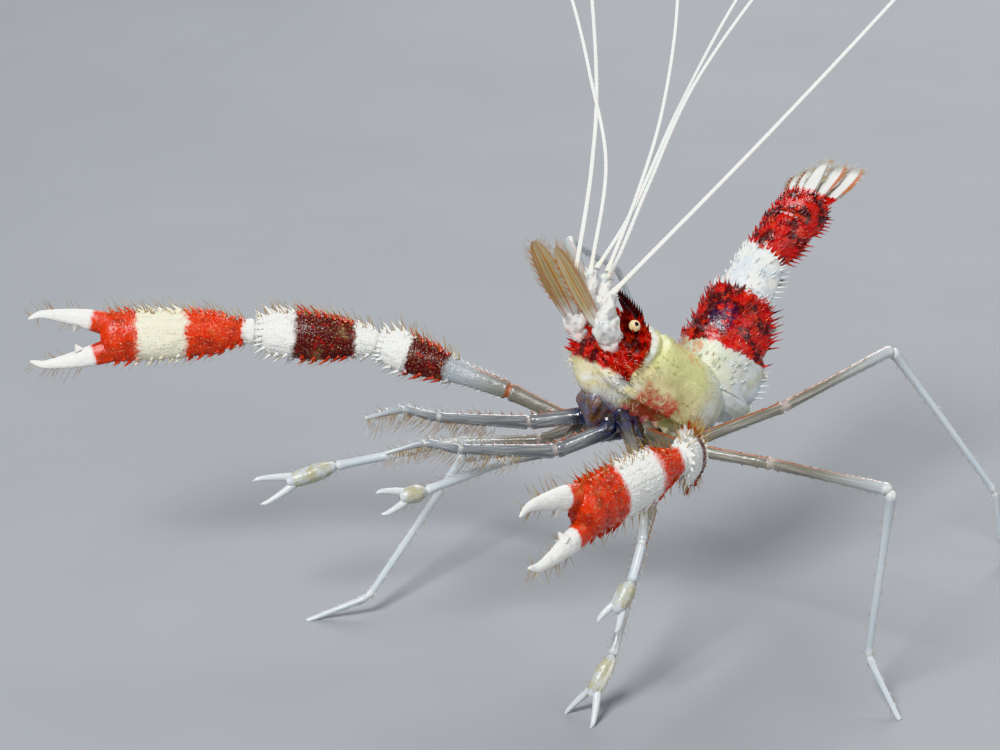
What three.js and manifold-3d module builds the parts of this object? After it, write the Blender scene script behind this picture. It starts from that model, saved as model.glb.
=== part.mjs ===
// A banded coral shrimp (Stenopus hispidus), life size, standing on four feet with its claws spread.
// Units are millimetres, +Z is up and the floor is z = 0. A direction is a heading, turned
// anticlockwise from +X, and a rise above the horizontal, both in degrees.
import * as THREE from 'three';
import Module from 'manifold-3d';
import { mergeVertices } from 'three/addons/utils/BufferGeometryUtils.js';

const wasm = await Module();
wasm.setup();

// Driving dimensions
const CARAPACE_LENGTH = 18.7;
const CARAPACE_HALF_WIDTH = 4.7;
const CARAPACE_HALF_HEIGHT = 5.1;
const ABDOMEN_HALF_WIDTH = 4.4;
const CLAW_PALM_LENGTH = 17.4;
const CLAW_PALM_HALF_DEPTH = 2.75;
const WALKING_LEG_RADIUS = 0.52;
const PINCER_LEG_RADIUS = 0.48;
const FEELER_RADIUS = 0.34;
const FEELER_TIP_RADIUS = 0.26;
const FIN_HALF_THICKNESS = 0.26;
const EYE_RADIUS = 0.72;
const JOINT_GAP = 0.1;
const SOLE_RADIUS = 0.4;
const CLAW_SPINE_RADIUS = 0.27;
const CARAPACE_SPINE_RADIUS = 0.24;
const ABDOMEN_SPINE_RADIUS = 0.26;

// The body's own axes: where its middle lies, which way it faces and how far it rolls
const BODY_CENTRE = new THREE.Vector3(6.94, 3.38, 28.65);
const BODY_HEADING = 210;
const BODY_RISE = 38;
const BODY_ROLL = 8;

const WHITE = 0xf1f2f0;
const RED = 0xc3200f;
const DARK_RED = 0x8a120d;
const CREAM = 0xd9d6a4;
const CLEAR = 0xb9aa98;

const shrimp = new THREE.Group();
shrimp.name = 'banded_coral_shrimp';

function direction(heading, rise) {
  const turn = THREE.MathUtils.degToRad(heading);
  const lift = THREE.MathUtils.degToRad(rise);
  return new THREE.Vector3(
    Math.cos(lift) * Math.cos(turn),
    Math.cos(lift) * Math.sin(turn),
    Math.sin(lift),
  );
}

const forward = direction(BODY_HEADING, BODY_RISE);
const level = direction(BODY_HEADING + 90, 0);
const upright = new THREE.Vector3().crossVectors(forward, level);
const roll = THREE.MathUtils.degToRad(BODY_ROLL);
const left = level.clone().multiplyScalar(Math.cos(roll)).addScaledVector(upright, Math.sin(roll));
const dorsal = new THREE.Vector3().crossVectors(forward, left);

// A direction given along the body's axes, as a world direction
function bodyDirection(ahead, sideways, up) {
  return new THREE.Vector3()
    .addScaledVector(forward, ahead)
    .addScaledVector(left, sideways)
    .addScaledVector(dorsal, up);
}

// A point given along the body's axes, as a world point
function onBody(ahead, sideways, up) {
  return bodyDirection(ahead, sideways, up).add(BODY_CENTRE);
}

// Solids

function toManifold(geometry) {
  const bare = geometry.clone();
  bare.deleteAttribute('normal');
  bare.deleteAttribute('uv');
  const merged = mergeVertices(bare, 1e-5);
  return new wasm.Manifold(new wasm.Mesh({
    numProp: 3,
    vertProperties: new Float32Array(merged.attributes.position.array),
    triVerts: new Uint32Array(merged.index.array),
  }));
}

function fromManifold(manifold) {
  const mesh = manifold.getMesh();
  const geometry = new THREE.BufferGeometry();
  geometry.setAttribute('position', new THREE.BufferAttribute(new Float32Array(mesh.vertProperties), 3));
  geometry.setIndex(new THREE.BufferAttribute(new Uint32Array(mesh.triVerts), 1));
  geometry.computeVertexNormals();
  return geometry;
}

// Join spines and other small pieces to the solid that they grow from, and cut it off at the floor.
// A neighbour that it tucks under can be cut away too, which leaves the largest piece.
function joined(geometry, pieces, neighbour) {
  let whole = pieces.reduce((sum, piece) => sum.add(toManifold(piece)), toManifold(geometry));
  if (neighbour) {
    const remains = whole.subtract(toManifold(neighbour)).decompose();
    whole = remains.reduce((best, piece) => (piece.volume() > best.volume() ? piece : best));
  }
  return fromManifold(whole.trimByPlane([0, 0, 1], 0));
}

function addNode(name, geometry, colour) {
  const material = new THREE.MeshStandardMaterial({ color: colour, roughness: 0.45, metalness: 0 });
  const mesh = new THREE.Mesh(geometry, material);
  mesh.name = name;
  shrimp.add(mesh);
}

// A cone whose base sits a little inside the surface point that it grows from
function spine(at, towards, length, radius) {
  const sunk = radius;
  const cone = new THREE.ConeGeometry(radius, length + sunk, 4);
  cone.translate(0, (length - sunk) / 2, 0);
  cone.applyQuaternion(new THREE.Quaternion().setFromUnitVectors(new THREE.Vector3(0, 1, 0), towards));
  cone.translate(at.x, at.y, at.z);
  return cone;
}

// The two axes of a section: the first follows `face`, both are square to the path
function sectionAxes(tangent, face) {
  const first = face.clone().addScaledVector(tangent, -face.dot(tangent)).normalize();
  const second = new THREE.Vector3().crossVectors(first, tangent);
  return [first, second];
}

// A unit cylinder carried along `path`, with one ring at each distance in `rings`.
// section(distance) gives the half sizes along the two axes, and the second axis may have a
// different half size on its lower side.
function sweep(path, rings, sides, face, section) {
  const length = path.getLength();
  const cylinder = new THREE.CylinderGeometry(1, 1, 1, sides, rings.length - 1);
  const position = cylinder.attributes.position;
  const unit = new THREE.Vector3();
  for (let i = 0; i < position.count; i += 1) {
    unit.fromBufferAttribute(position, i);
    const distance = rings[Math.round((unit.y + 0.5) * (rings.length - 1))];
    const along = THREE.MathUtils.clamp(distance / length, 0, 1);
    const [first, second] = sectionAxes(path.getTangent(along), face);
    const size = section(distance);
    const depth = unit.z < 0 ? size.lower ?? size.second : size.second;
    const point = path.getPoint(along)
      .addScaledVector(first, unit.x * size.first)
      .addScaledVector(second, unit.z * depth);
    position.setXYZ(i, point.x, point.y, point.z);
  }
  return cylinder;
}

// Straight runs with their corners rounded off by `corner` millimetres
function roundedPath(points, corner) {
  const path = new THREE.CurvePath();
  let start = points[0];
  for (let i = 1; i < points.length - 1; i += 1) {
    const before = points[i].clone().sub(points[i - 1]).setLength(corner);
    const after = points[i + 1].clone().sub(points[i]).setLength(corner);
    const enter = points[i].clone().sub(before);
    const leave = points[i].clone().add(after);
    path.add(new THREE.LineCurve3(start, enter));
    path.add(new THREE.QuadraticBezierCurve3(enter, points[i], leave));
    start = leave;
  }
  path.add(new THREE.LineCurve3(start, points[points.length - 1]));
  return path;
}

// Joint positions of a limb. A segment with `toFloor` is tilted so that its end has that height.
function jointsOf(start, segments) {
  const joints = [start];
  for (const { length, heading, rise, toFloor } of segments) {
    const last = joints[joints.length - 1];
    const lift = toFloor === undefined
      ? rise
      : -THREE.MathUtils.radToDeg(Math.asin((last.z - toFloor) / length));
    joints.push(last.clone().addScaledVector(direction(heading, lift), length));
  }
  return joints;
}

// Straight lines between [distance, value] marks
function between(marks, distance) {
  for (let i = 1; i < marks.length; i += 1) {
    const [from, low] = marks[i - 1];
    const [to, high] = marks[i];
    if (distance <= to) {
      return THREE.MathUtils.mapLinear(Math.max(distance, from), from, to, low, high);
    }
  }
  return marks[marks.length - 1][1];
}

function ringsBetween(from, to, wanted) {
  const margin = 0.15;
  const inner = wanted.filter((distance) => distance > from + margin && distance < to - margin);
  return [from, ...inner.sort((a, b) => a - b), to];
}

// How far along a limb's rounded path each joint lies
function jointDistances(path) {
  const lengths = path.getCurveLengths();
  const distances = [0];
  for (let i = 1; i < lengths.length; i += 2) {
    distances.push((lengths[i - 1] + lengths[i]) / 2);
  }
  distances.push(lengths[lengths.length - 1]);
  return distances;
}

// Limbs

// A row of spines along one edge of a claw, pointing out and a little towards its tip
function spineRow(path, face, section, from, to, spacing, edge, length) {
  const total = path.getLength();
  const count = Math.floor((to - from) / spacing);
  const row = [];
  for (let i = 0; i < count; i += 1) {
    const distance = from + (i + 0.5) * spacing;
    const tangent = path.getTangent(distance / total);
    const second = sectionAxes(tangent, face)[1].multiplyScalar(edge);
    const at = path.getPoint(distance / total).addScaledVector(second, section(distance).second * 0.93);
    const towards = second.clone().addScaledVector(tangent, 0.55).normalize();
    row.push(spine(at, towards, length, CLAW_SPINE_RADIUS));
  }
  return row;
}

// Eight-sided pieces cut from one rounded path. `parts` names each piece with its first and last
// joint; `radii` are [joint, radius] marks, where 1.5 is half way from joint 1 to joint 2.
function addLimb({ start, segments, parts, radii, face, flatness = 1, corner = 1.1, colour }) {
  const path = roundedPath(jointsOf(start, segments), corner);
  const joints = jointDistances(path);
  const distanceAt = (joint) => {
    const whole = Math.min(Math.floor(joint), joints.length - 2);
    return THREE.MathUtils.lerp(joints[whole], joints[whole + 1], joint - whole);
  };
  const marks = radii.map(([joint, radius]) => [distanceAt(joint), radius]);
  const section = (distance) => {
    const radius = between(marks, distance);
    return { first: radius * flatness, second: radius };
  };
  const bends = joints.slice(1, -1).flatMap((joint) => [joint - corner, joint, joint + corner]);
  for (const { name, from, to, extras } of parts) {
    const first = distanceAt(from) + (from === 0 ? 0 : JOINT_GAP / 2);
    const last = distanceAt(to) - (to === joints.length - 1 ? 0 : JOINT_GAP / 2);
    const rings = ringsBetween(first, last, [...bends, ...marks.map(([distance]) => distance)]);
    const solid = sweep(path, rings, 8, face, section);
    const pieces = extras ? extras({ path, section, distanceAt, face }) : [];
    addNode(name, joined(solid, pieces), colour);
  }
  return { path, distanceAt };
}

// A finger that curves from the end of a palm; `bow` bends it sideways, negative the other way
function fingerPath(base, along, across, length, spread, bow) {
  const tip = base.clone().addScaledVector(along, length).addScaledVector(across, spread);
  const middle = base.clone().lerp(tip, 0.55).addScaledVector(across, bow);
  return new THREE.QuadraticBezierCurve3(base, middle, tip);
}

function fingerSolid(path, face, rootHalfDepth, tipHalfDepth, flatness, sides) {
  const length = path.getLength();
  const rings = [0, 0.35, 0.75, 1].map((part) => part * length);
  return sweep(path, rings, sides, face, (distance) => {
    const part = distance / length;
    const half = THREE.MathUtils.lerp(rootHalfDepth, tipHalfDepth, part ** 1.3);
    return { first: half * flatness, second: half };
  });
}

const ATTACH_UP = -5.9;
const ATTACH_SIDE = 3.05;
const attach = (ahead, side) => onBody(ahead, ATTACH_SIDE * side, ATTACH_UP);
const LEFT = 1;
const RIGHT = -1;
// The flat of most pincers is turned this way
const CLAW_FACE = direction(90, -22);
// Feet are built this far below the floor, then cut flat on it
const SOLE_CUT = -0.2;

// Walking legs: thorax to knee, then knee to foot
function addWalkingLeg(name, start, segments) {
  const r = WALKING_LEG_RADIUS;
  addLimb({
    start,
    segments,
    parts: [
      { name: `${name}_upper`, from: 0, to: 2 },
      { name: `${name}_lower`, from: 2, to: 4 },
    ],
    radii: [[0, r * 1.6], [0.35, r * 1.35], [1, r * 1.2], [1.5, r * 1.15], [1.85, r * 1.35],
      [2, r * 1.2], [2.3, r * 0.85], [3, r * 0.78], [3.5, r * 0.65], [4, SOLE_RADIUS * 0.75]],
    face: direction(segments[0].heading + 90, 0),
    colour: CLEAR,
  });
}

addWalkingLeg('walking_leg_4_left', attach(-2.4, LEFT), [
  { length: 13.3, heading: -25, rise: 0 },
  { length: 16.4, heading: -47, rise: 8 },
  { length: 20, heading: 140, rise: -85 },
  { length: 7.6, heading: -54, toFloor: SOLE_CUT },
]);
addWalkingLeg('walking_leg_5_left', attach(-4.2, LEFT), [
  { length: 14.1, heading: 20, rise: 13 },
  { length: 16.9, heading: 37, rise: 10 },
  { length: 22.4, heading: 3, rise: -54 },
  { length: 10.2, heading: 25, toFloor: SOLE_CUT },
]);
addWalkingLeg('walking_leg_4_right', attach(-2.4, RIGHT), [
  { length: 14.2, heading: 152, rise: -21 },
  { length: 10.8, heading: 131, rise: -22 },
  { length: 21.6, heading: -125, rise: -30 },
  { length: 7.6, heading: -171, toFloor: SOLE_CUT },
]);
addWalkingLeg('walking_leg_5_right', attach(-4.2, RIGHT), [
  { length: 14.4, heading: 104, rise: 35 },
  { length: 14.5, heading: 110, rise: 29 },
  { length: 20, heading: 68, rise: -28 },
  { length: 8.7, heading: 38, rise: -64 },
]);

// Slender pincer legs: the arm, then a small hand with two fingers that meet at an angle
function addPincerLeg(name, start, segments, hand) {
  const r = PINCER_LEG_RADIUS;
  const wrist = segments.length - 1;
  const { face } = hand;
  const reach = segments[wrist];
  if (hand.tipsOnFloor) {
    const height = jointsOf(start, segments)[wrist].z;
    const wholeLength = reach.length + hand.fingerLength;
    reach.rise = -THREE.MathUtils.radToDeg(Math.asin((height - SOLE_CUT) / wholeLength));
  }
  addLimb({
    start,
    segments,
    parts: [
      { name: `${name}_arm`, from: 0, to: wrist },
      {
        name: `${name}_pincer`,
        from: wrist,
        to: wrist + 1,
        extras: ({ path }) => {
          const along = path.getTangent(1);
          const base = path.getPoint(1).addScaledVector(along, -1);
          const across = sectionAxes(along, face)[1];
          return [1, -1].map((side) => fingerSolid(
            fingerPath(
              base.clone().addScaledVector(across, side * r * 0.7),
              along, across, hand.fingerLength + 1, side * hand.spread, side * 0.25,
            ),
            face, r, 0.25, 0.9, 6,
          ));
        },
      },
    ],
    radii: [[0, r * 1.6], [0.4, r * 1.35], [1, r * 1.2], [wrist - 0.2, r], [wrist, r * 1.1],
      [wrist + 0.35, r * 2], [wrist + 0.8, r * 1.85], [wrist + 1, r * 1.2]],
    face,
    corner: 0.9,
    colour: CLEAR,
  });
}

addPincerLeg('pincer_leg_1_left', attach(3.4, LEFT), [
  { length: 9.6, heading: -76, rise: -28 },
  { length: 6, heading: -97, rise: -42 },
  { length: 4.4, heading: -114, rise: -48 },
  { length: 3.6, heading: -138, rise: -49 },
], { face: CLAW_FACE, fingerLength: 1.9, spread: 0.85 });
addPincerLeg('pincer_leg_2_left', attach(1.7, LEFT), [
  { length: 9.3, heading: -75, rise: -44 },
  { length: 16.7, heading: -115, rise: -51 },
  { length: 4.9, heading: -138, rise: -48 },
], { face: direction(0, 90), fingerLength: 3.1, spread: 1.8, tipsOnFloor: true });
addPincerLeg('pincer_leg_1_right', attach(3.4, RIGHT), [
  { length: 5.6, heading: -167, rise: -53 },
  { length: 7, heading: -157, rise: -2 },
  { length: 9.3, heading: -157, rise: -12 },
  { length: 3, heading: -159, rise: -7 },
], { face: CLAW_FACE, fingerLength: 2.5, spread: 1 });
addPincerLeg('pincer_leg_2_right', attach(1.7, RIGHT), [
  { length: 8.3, heading: 156, rise: -30 },
  { length: 9.6, heading: 176, rise: -3 },
  { length: 13.8, heading: -172, rise: -9 },
  { length: 5.8, heading: -165, rise: -14 },
], { face: CLAW_FACE, fingerLength: 3.6, spread: 1.2 });

// The great claws
function addClaw(name, start, segments, hand) {
  const deep = CLAW_PALM_HALF_DEPTH;
  const { face } = hand;
  const flatness = 0.62;
  const rows = (from, to, size) => ({ path, section, distanceAt }) => [
    ...spineRow(path, face, section, distanceAt(from), distanceAt(to), 1.9, 1, size),
    ...spineRow(path, face, section, distanceAt(from), distanceAt(to), 2.5, -1, size),
  ];
  const hinge = segments.length;
  const { path } = addLimb({
    start,
    segments,
    parts: [
      {
        name: `${name}_upper_arm`,
        from: 0,
        to: hinge - 2,
        extras: rows(hinge - 2.6, hinge - 2.05, 0.75),
      },
      {
        name: `${name}_wrist`,
        from: hinge - 2,
        to: hinge - 1,
        extras: rows(hinge - 1.95, hinge - 1.05, 0.75),
      },
      {
        name: `${name}_palm`,
        from: hinge - 1,
        to: hinge,
        extras: (limb) => [
          ...rows(hinge - 0.95, hinge - 0.05, 0.65)(limb),
          fingerSolid(finger(limb.path, -1, -0.9), face, deep * 0.42, 0.26, flatness, 6),
        ],
      },
    ],
    radii: [[0, deep * 0.34], [0.5, deep * 0.3], [1, deep * 0.28], [hinge - 2.7, deep * 0.42],
      [hinge - 2.15, deep * 0.78], [hinge - 2, deep * 0.5], [hinge - 1.85, deep * 0.6],
      [hinge - 1.45, deep * 0.93], [hinge - 1.15, deep * 0.86], [hinge - 1, deep * 0.5],
      [hinge - 0.92, deep * 0.48], [hinge - 0.72, deep * 0.82], [hinge - 0.3, deep * 0.97],
      [hinge - 0.08, deep], [hinge, deep * 0.9]],
    face,
    flatness,
    corner: 0.8,
    colour: RED,
  });
  addNode(`${name}_finger`, fingerSolid(finger(path, 1, 0.4), face, deep * 0.38, 0.26, flatness, 6), WHITE);

  // The lower finger (-1) grows from the palm and the upper one (1) is hinged to it
  function finger(limbPath, side, start) {
    const along = limbPath.getTangent(1);
    const across = sectionAxes(along, face)[1];
    const base = limbPath.getPoint(1)
      .addScaledVector(along, start)
      .addScaledVector(across, side * deep * 0.5);
    return fingerPath(base, along, across, hand.fingerLength - start, side * hand.spread, side * 0.7);
  }
}

addClaw('claw_right', attach(-0.3, RIGHT), [
  { length: 5.2, heading: 145, rise: -12 },
  { length: 8.3, heading: 158, rise: 18 },
  { length: 16.1, heading: 166, rise: 16 },
  { length: 13.9, heading: -179, rise: 6 },
  { length: CLAW_PALM_LENGTH, heading: -171, rise: 1 },
], { face: CLAW_FACE, fingerLength: 7.9, spread: 1.5 });
addClaw('claw_left', attach(-0.3, LEFT), [
  { length: 9.8, heading: -70, rise: 15 },
  { length: 15.4, heading: -88, rise: 20 },
  { length: 13.9, heading: -101, rise: 22 },
  { length: CLAW_PALM_LENGTH, heading: -127, rise: 2 },
], { face: direction(141, -13), fingerLength: 7.9, spread: 1.5 });

// Third maxillipeds: the jointed mouth limbs, held out ahead of the legs
function addMouthLimb(name, start, segments) {
  const r = PINCER_LEG_RADIUS;
  addLimb({
    start,
    segments,
    parts: [{ name, from: 0, to: segments.length }],
    radii: [[0, r * 1.9], [1, r * 1.6], [1.6, r * 1.3], [2, r * 1.1], [3, r * 0.9], [4, r * 0.5]],
    face: direction(-90, 20),
    colour: CLEAR,
  });
}

addMouthLimb('mouth_limb_right', onBody(4.6, -2, -6.9), [
  { length: 6.4, heading: 169, rise: -12 },
  { length: 10.5, heading: -168, rise: 8 },
  { length: 3.8, heading: -173, rise: 19 },
  { length: 4.4, heading: -164, rise: -9 },
]);
addMouthLimb('mouth_limb_left', onBody(4.2, 2.3, -7.4), [
  { length: 6.3, heading: -168, rise: -19 },
  { length: 10.5, heading: -176, rise: 3 },
  { length: 3.8, heading: 178, rise: 12 },
  { length: 4.4, heading: -176, rise: -16 },
]);

// Head and carapace: [ahead, half width, height above the axis, depth below it], where ahead is
// in carapace lengths and the others are in half widths and half heights
const CARAPACE_REAR = -0.41;
const CARAPACE_FRONT = 0.56;
const CARAPACE_SECTIONS = [
  [CARAPACE_REAR, 0.84, 0.84, 0.76],
  [-0.33, 0.95, 0.94, 0.9],
  [-0.16, 1, 1, 1.02],
  [0.06, 1, 0.99, 1.08],
  [0.24, 0.93, 0.92, 1.14],
  [0.38, 0.84, 0.82, 1.1],
  [0.49, 0.72, 0.66, 0.92],
  [CARAPACE_FRONT, 0.52, 0.44, 0.6],
];
const ROSTRUM_ROOT = onBody(6.6, 0, 4.2);
const ROSTRUM_TIP = onBody(9.9, 0, 5.7);

function carapaceSection(distance) {
  const ahead = distance / CARAPACE_LENGTH + CARAPACE_REAR;
  const read = (column) => between(CARAPACE_SECTIONS.map((row) => [row[0], row[column]]), ahead);
  return {
    first: CARAPACE_HALF_WIDTH * read(1),
    second: CARAPACE_HALF_HEIGHT * read(2),
    lower: CARAPACE_HALF_HEIGHT * read(3),
  };
}

// The narrow floor of the thorax, which the limbs spring from on both sides
const THORAX_FLOOR = { rear: -6.6, front: 6, up: -4.4, halfWidth: 2.5, halfHeight: 2.1 };

function breastplate() {
  const { rear, front, up, halfWidth, halfHeight } = THORAX_FLOOR;
  const path = new THREE.LineCurve3(onBody(rear, 0, up), onBody(front, 0, up));
  const length = path.getLength();
  const marks = [[0, 0.5], [length * 0.15, 0.9], [length * 0.8, 1], [length, 0.5]];
  return sweep(path, marks.map(([distance]) => distance), 8, left.clone().negate(), (distance) => {
    const full = between(marks, distance);
    return { first: halfWidth * full, second: halfHeight * full };
  });
}

// The mouthparts, a lump that hangs under the head between the two mouth limbs
const MOUTH = { top: onBody(6.4, 0, -4.2), bottom: onBody(3.4, 0, -7.9), halfWidth: 1.4, halfLength: 1.7 };

function mouthparts() {
  const path = new THREE.LineCurve3(MOUTH.top, MOUTH.bottom);
  const length = path.getLength();
  const marks = [[0, 0.8], [length * 0.5, 1], [length * 0.85, 0.8], [length, 0.45]];
  return sweep(path, marks.map(([distance]) => distance), 8, left, (distance) => {
    const full = between(marks, distance);
    return { first: MOUTH.halfWidth * full, second: MOUTH.halfLength * full };
  });
}

// The first axis runs to the animal's right, which puts the second one upwards
function addCarapace() {
  const rear = onBody(CARAPACE_REAR * CARAPACE_LENGTH, 0, 0);
  const face = onBody(CARAPACE_FRONT * CARAPACE_LENGTH, 0, 0);
  const path = new THREE.LineCurve3(rear, face);
  const rings = CARAPACE_SECTIONS.map((row) => (row[0] - CARAPACE_REAR) * CARAPACE_LENGTH);
  const right = left.clone().negate();
  const shell = sweep(path, rings, 16, right, carapaceSection);
  const rostrumLine = ROSTRUM_TIP.clone().sub(ROSTRUM_ROOT);
  const spines = [spine(ROSTRUM_ROOT, rostrumLine.clone().normalize(), rostrumLine.length(), 0.6)];
  for (let tooth = 0; tooth < 4; tooth += 1) {
    const at = ROSTRUM_ROOT.clone().addScaledVector(rostrumLine, 0.12 + 0.2 * tooth);
    spines.push(spine(at, bodyDirection(0.6, 0, 0.8), 0.9, 0.3));
  }
  // Rows of spines from the midline down each flank, leaning forwards
  for (let row = 0; row < 4; row += 1) {
    const distance = 2.6 + row * 3.8;
    const size = carapaceSection(distance);
    for (let step = -2; step <= 2; step += 1) {
      const angle = THREE.MathUtils.degToRad(step * 32 + (row % 2) * 16);
      const up = Math.cos(angle);
      const out = Math.sin(angle);
      const ahead = distance + CARAPACE_REAR * CARAPACE_LENGTH;
      const at = onBody(ahead, out * size.first * 0.95, up * size.second * 0.95);
      const towards = bodyDirection(0.55, out * 0.8, up * 0.8).normalize();
      spines.push(spine(at, towards, 0.65, CARAPACE_SPINE_RADIUS));
    }
  }
  addNode('carapace', joined(shell, [...spines, breastplate(), mouthparts()]), CREAM);

  // The same shell a little larger, to cut a clear space for it out of the abdomen
  const middle = rear.lerp(face, 0.5);
  const clearance = shell.clone();
  clearance.translate(-middle.x, -middle.y, -middle.z);
  clearance.scale(1.03, 1.03, 1.03);
  clearance.translate(middle.x, middle.y, middle.z);
  return clearance;
}
const carapaceClearance = addCarapace();

// Eyes on short stalks, under the root of the rostrum
const EYE_AT = { ahead: 8.2, out: 3, up: 3.5 };

function addEye(name, side) {
  const centre = onBody(EYE_AT.ahead, side * EYE_AT.out, EYE_AT.up);
  const outward = bodyDirection(0.35, side * 0.85, 0.4).normalize();
  const ball = new THREE.SphereGeometry(EYE_RADIUS, 8, 6);
  ball.translate(centre.x, centre.y, centre.z);
  const stalk = new THREE.CylinderGeometry(EYE_RADIUS * 0.7, EYE_RADIUS * 0.6, 0.6, 6);
  stalk.applyQuaternion(new THREE.Quaternion().setFromUnitVectors(new THREE.Vector3(0, 1, 0), outward));
  const root = centre.clone().addScaledVector(outward, -0.4);
  stalk.translate(root.x, root.y, root.z);
  addNode(name, joined(ball, [stalk]), DARK_RED);
}
addEye('eye_left', LEFT);
addEye('eye_right', RIGHT);

// Feeler stalks, fans and whips
function stalkSolid(from, to, radius) {
  const path = new THREE.LineCurve3(from, to);
  const length = path.getLength();
  const rings = [0, 0.3, 0.7, 1].map((part) => part * length);
  const marks = [[0, radius], [length * 0.3, radius * 1.12], [length * 0.7, radius], [length, radius * 0.8]];
  return sweep(path, rings, 8, left, (distance) => {
    const size = between(marks, distance);
    return { first: size, second: size };
  });
}

// A whip leaves `start` and passes on through each [length, heading, rise] run in one smooth curve
function whipSolid(start, runs, radius) {
  const points = jointsOf(start, runs.map(([length, heading, rise]) => ({ length, heading, rise })));
  const path = new THREE.CatmullRomCurve3(points);
  const length = path.getLength();
  const steps = 13;
  const rings = Array.from({ length: steps + 1 }, (_, i) => (length * i) / steps);
  return sweep(path, rings, 6, direction(90, 0), (distance) => {
    const size = THREE.MathUtils.lerp(radius, FEELER_TIP_RADIUS, distance / length);
    return { first: size, second: size };
  });
}

// A flat blade: `outline` is [part of the length, half width], `face` is square to the blade
function bladeSolid(from, to, face, outline) {
  const path = new THREE.LineCurve3(from, to);
  const length = path.getLength();
  const marks = outline.map(([part, half]) => [part * length, half]);
  return sweep(path, marks.map(([distance]) => distance), 8, face, (distance) => ({
    first: FIN_HALF_THICKNESS,
    second: between(marks, distance),
  }));
}

// Where the pieces ahead of the face begin and end, in body places with `out` from the midline
const SIDES = [['left', LEFT], ['right', RIGHT]];
// The left scale is twisted outwards, the right one lies flatter
const SCALE_FACES = { left: bodyDirection(-0.1, 0.95, 0.3), right: bodyDirection(-0.3, -0.75, 0.6) };
const SCALE_OUTLINE = [[0, 0.65], [0.2, 1.1], [0.5, 1.3], [0.8, 1.05], [0.94, 0.65], [1, 0.32]];
const mirrored = (ahead, out, up) => (side) => onBody(ahead, side * out, up);
const antennuleStart = mirrored(10.9, 1.2, 2.9);
const antennuleEnd = mirrored(12.9, 1.28, 6.3);
const antennaStart = mirrored(11.1, 2.85, 0.9);
const antennaEnd = mirrored(12.9, 3.3, 4.3);
const scaleRoot = mirrored(13, 2, 1.8);
const scaleTip = mirrored(21.6, 1.95, 5.9);
const antennaRoot = mirrored(13.3, 3.4, 4.9);
const antennuleRoot = (side, spread) => mirrored(13.3, 1.28 + spread, 6.9 - spread)(side);

for (const [word, side] of SIDES) {
  addNode(`antennule_stalk_${word}`, stalkSolid(antennuleStart(side), antennuleEnd(side), 0.8), WHITE);
  addNode(`antenna_stalk_${word}`, stalkSolid(antennaStart(side), antennaEnd(side), 0.95), WHITE);
  const scale = bladeSolid(scaleRoot(side), scaleTip(side), SCALE_FACES[word], SCALE_OUTLINE);
  addNode(`antenna_scale_${word}`, scale, CLEAR);
}

// Each whip: its name, its root and its [length, heading, rise] runs
const WHIPS = [
  ['antenna_whip_left', antennaRoot(LEFT), [[23, 26, 39], [21.4, 27, 40], [45, 30, 40]]],
  ['antenna_whip_right', antennaRoot(RIGHT),
    [[14.1, 78, 44], [11.7, 85, 47], [30.7, 98, 52], [33.5, 110, 54]]],
  ['antennule_whip_outer_left', antennuleRoot(LEFT, 0.32),
    [[3.3, -54, 59], [8.1, 33, 63], [12.9, 33, 60], [25, 23, 48], [22, 18, 38]]],
  ['antennule_whip_inner_left', antennuleRoot(LEFT, -0.32),
    [[9.2, 50, 56], [9.1, 57, 58], [12.9, 74, 59], [17.3, 93, 57], [22, 104, 54]]],
  ['antennule_whip_outer_right', antennuleRoot(RIGHT, 0.32),
    [[12.3, 75, 57], [9.8, 107, 56], [8.9, 112, 55], [18.8, 119, 51], [22, 125, 47]]],
  ['antennule_whip_inner_right', antennuleRoot(RIGHT, -0.32),
    [[7, 45, 43], [14.3, 56, 44], [14.7, 49, 45], [18.6, 37, 44], [16, 35, 46]]],
];
for (const [name, start, runs] of WHIPS) {
  const radius = name.startsWith('antenna_') ? FEELER_RADIUS : FEELER_RADIUS * 0.9;
  addNode(name, whipSolid(start, runs, radius), WHITE);
}

// Abdomen: one curve from the carapace's rear edge to the tail, cut into its six rings
const ABDOMEN_RUNS = [
  { length: 2.1, heading: 66, rise: 48 },
  { length: 5.7, heading: 59, rise: 50 },
  { length: 6.4, heading: 57, rise: 46 },
  { length: 5.3, heading: 52, rise: 42 },
  { length: 4.7, heading: 44, rise: 32 },
  { length: 4.7, heading: 59, rise: 20 },
];
const WHITE_RINGS = [2, 3];
const ABDOMEN_ROOT = onBody(-8.5, 0, 0.2);
const TAIL_LINE = direction(58, 28);
// [place in whole rings, half width, height above the axis, depth below it], the last three in
// half widths of the widest ring
const ABDOMEN_SECTIONS = [
  [0, 0.84, 0.66, 1.05], [0.9, 0.98, 0.86, 1.2],
  [1.1, 0.98, 0.95, 1.22], [1.9, 1.02, 1.1, 1.18],
  [2.1, 0.98, 1.06, 1.1], [2.9, 0.8, 0.84, 0.78],
  [3.1, 0.7, 0.72, 0.64], [3.9, 0.6, 0.62, 0.54],
  [4.1, 0.56, 0.58, 0.5], [4.9, 0.64, 0.62, 0.54],
  [5.1, 0.66, 0.6, 0.54], [5.9, 0.72, 0.58, 0.54], [6, 0.7, 0.55, 0.52],
];

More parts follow.
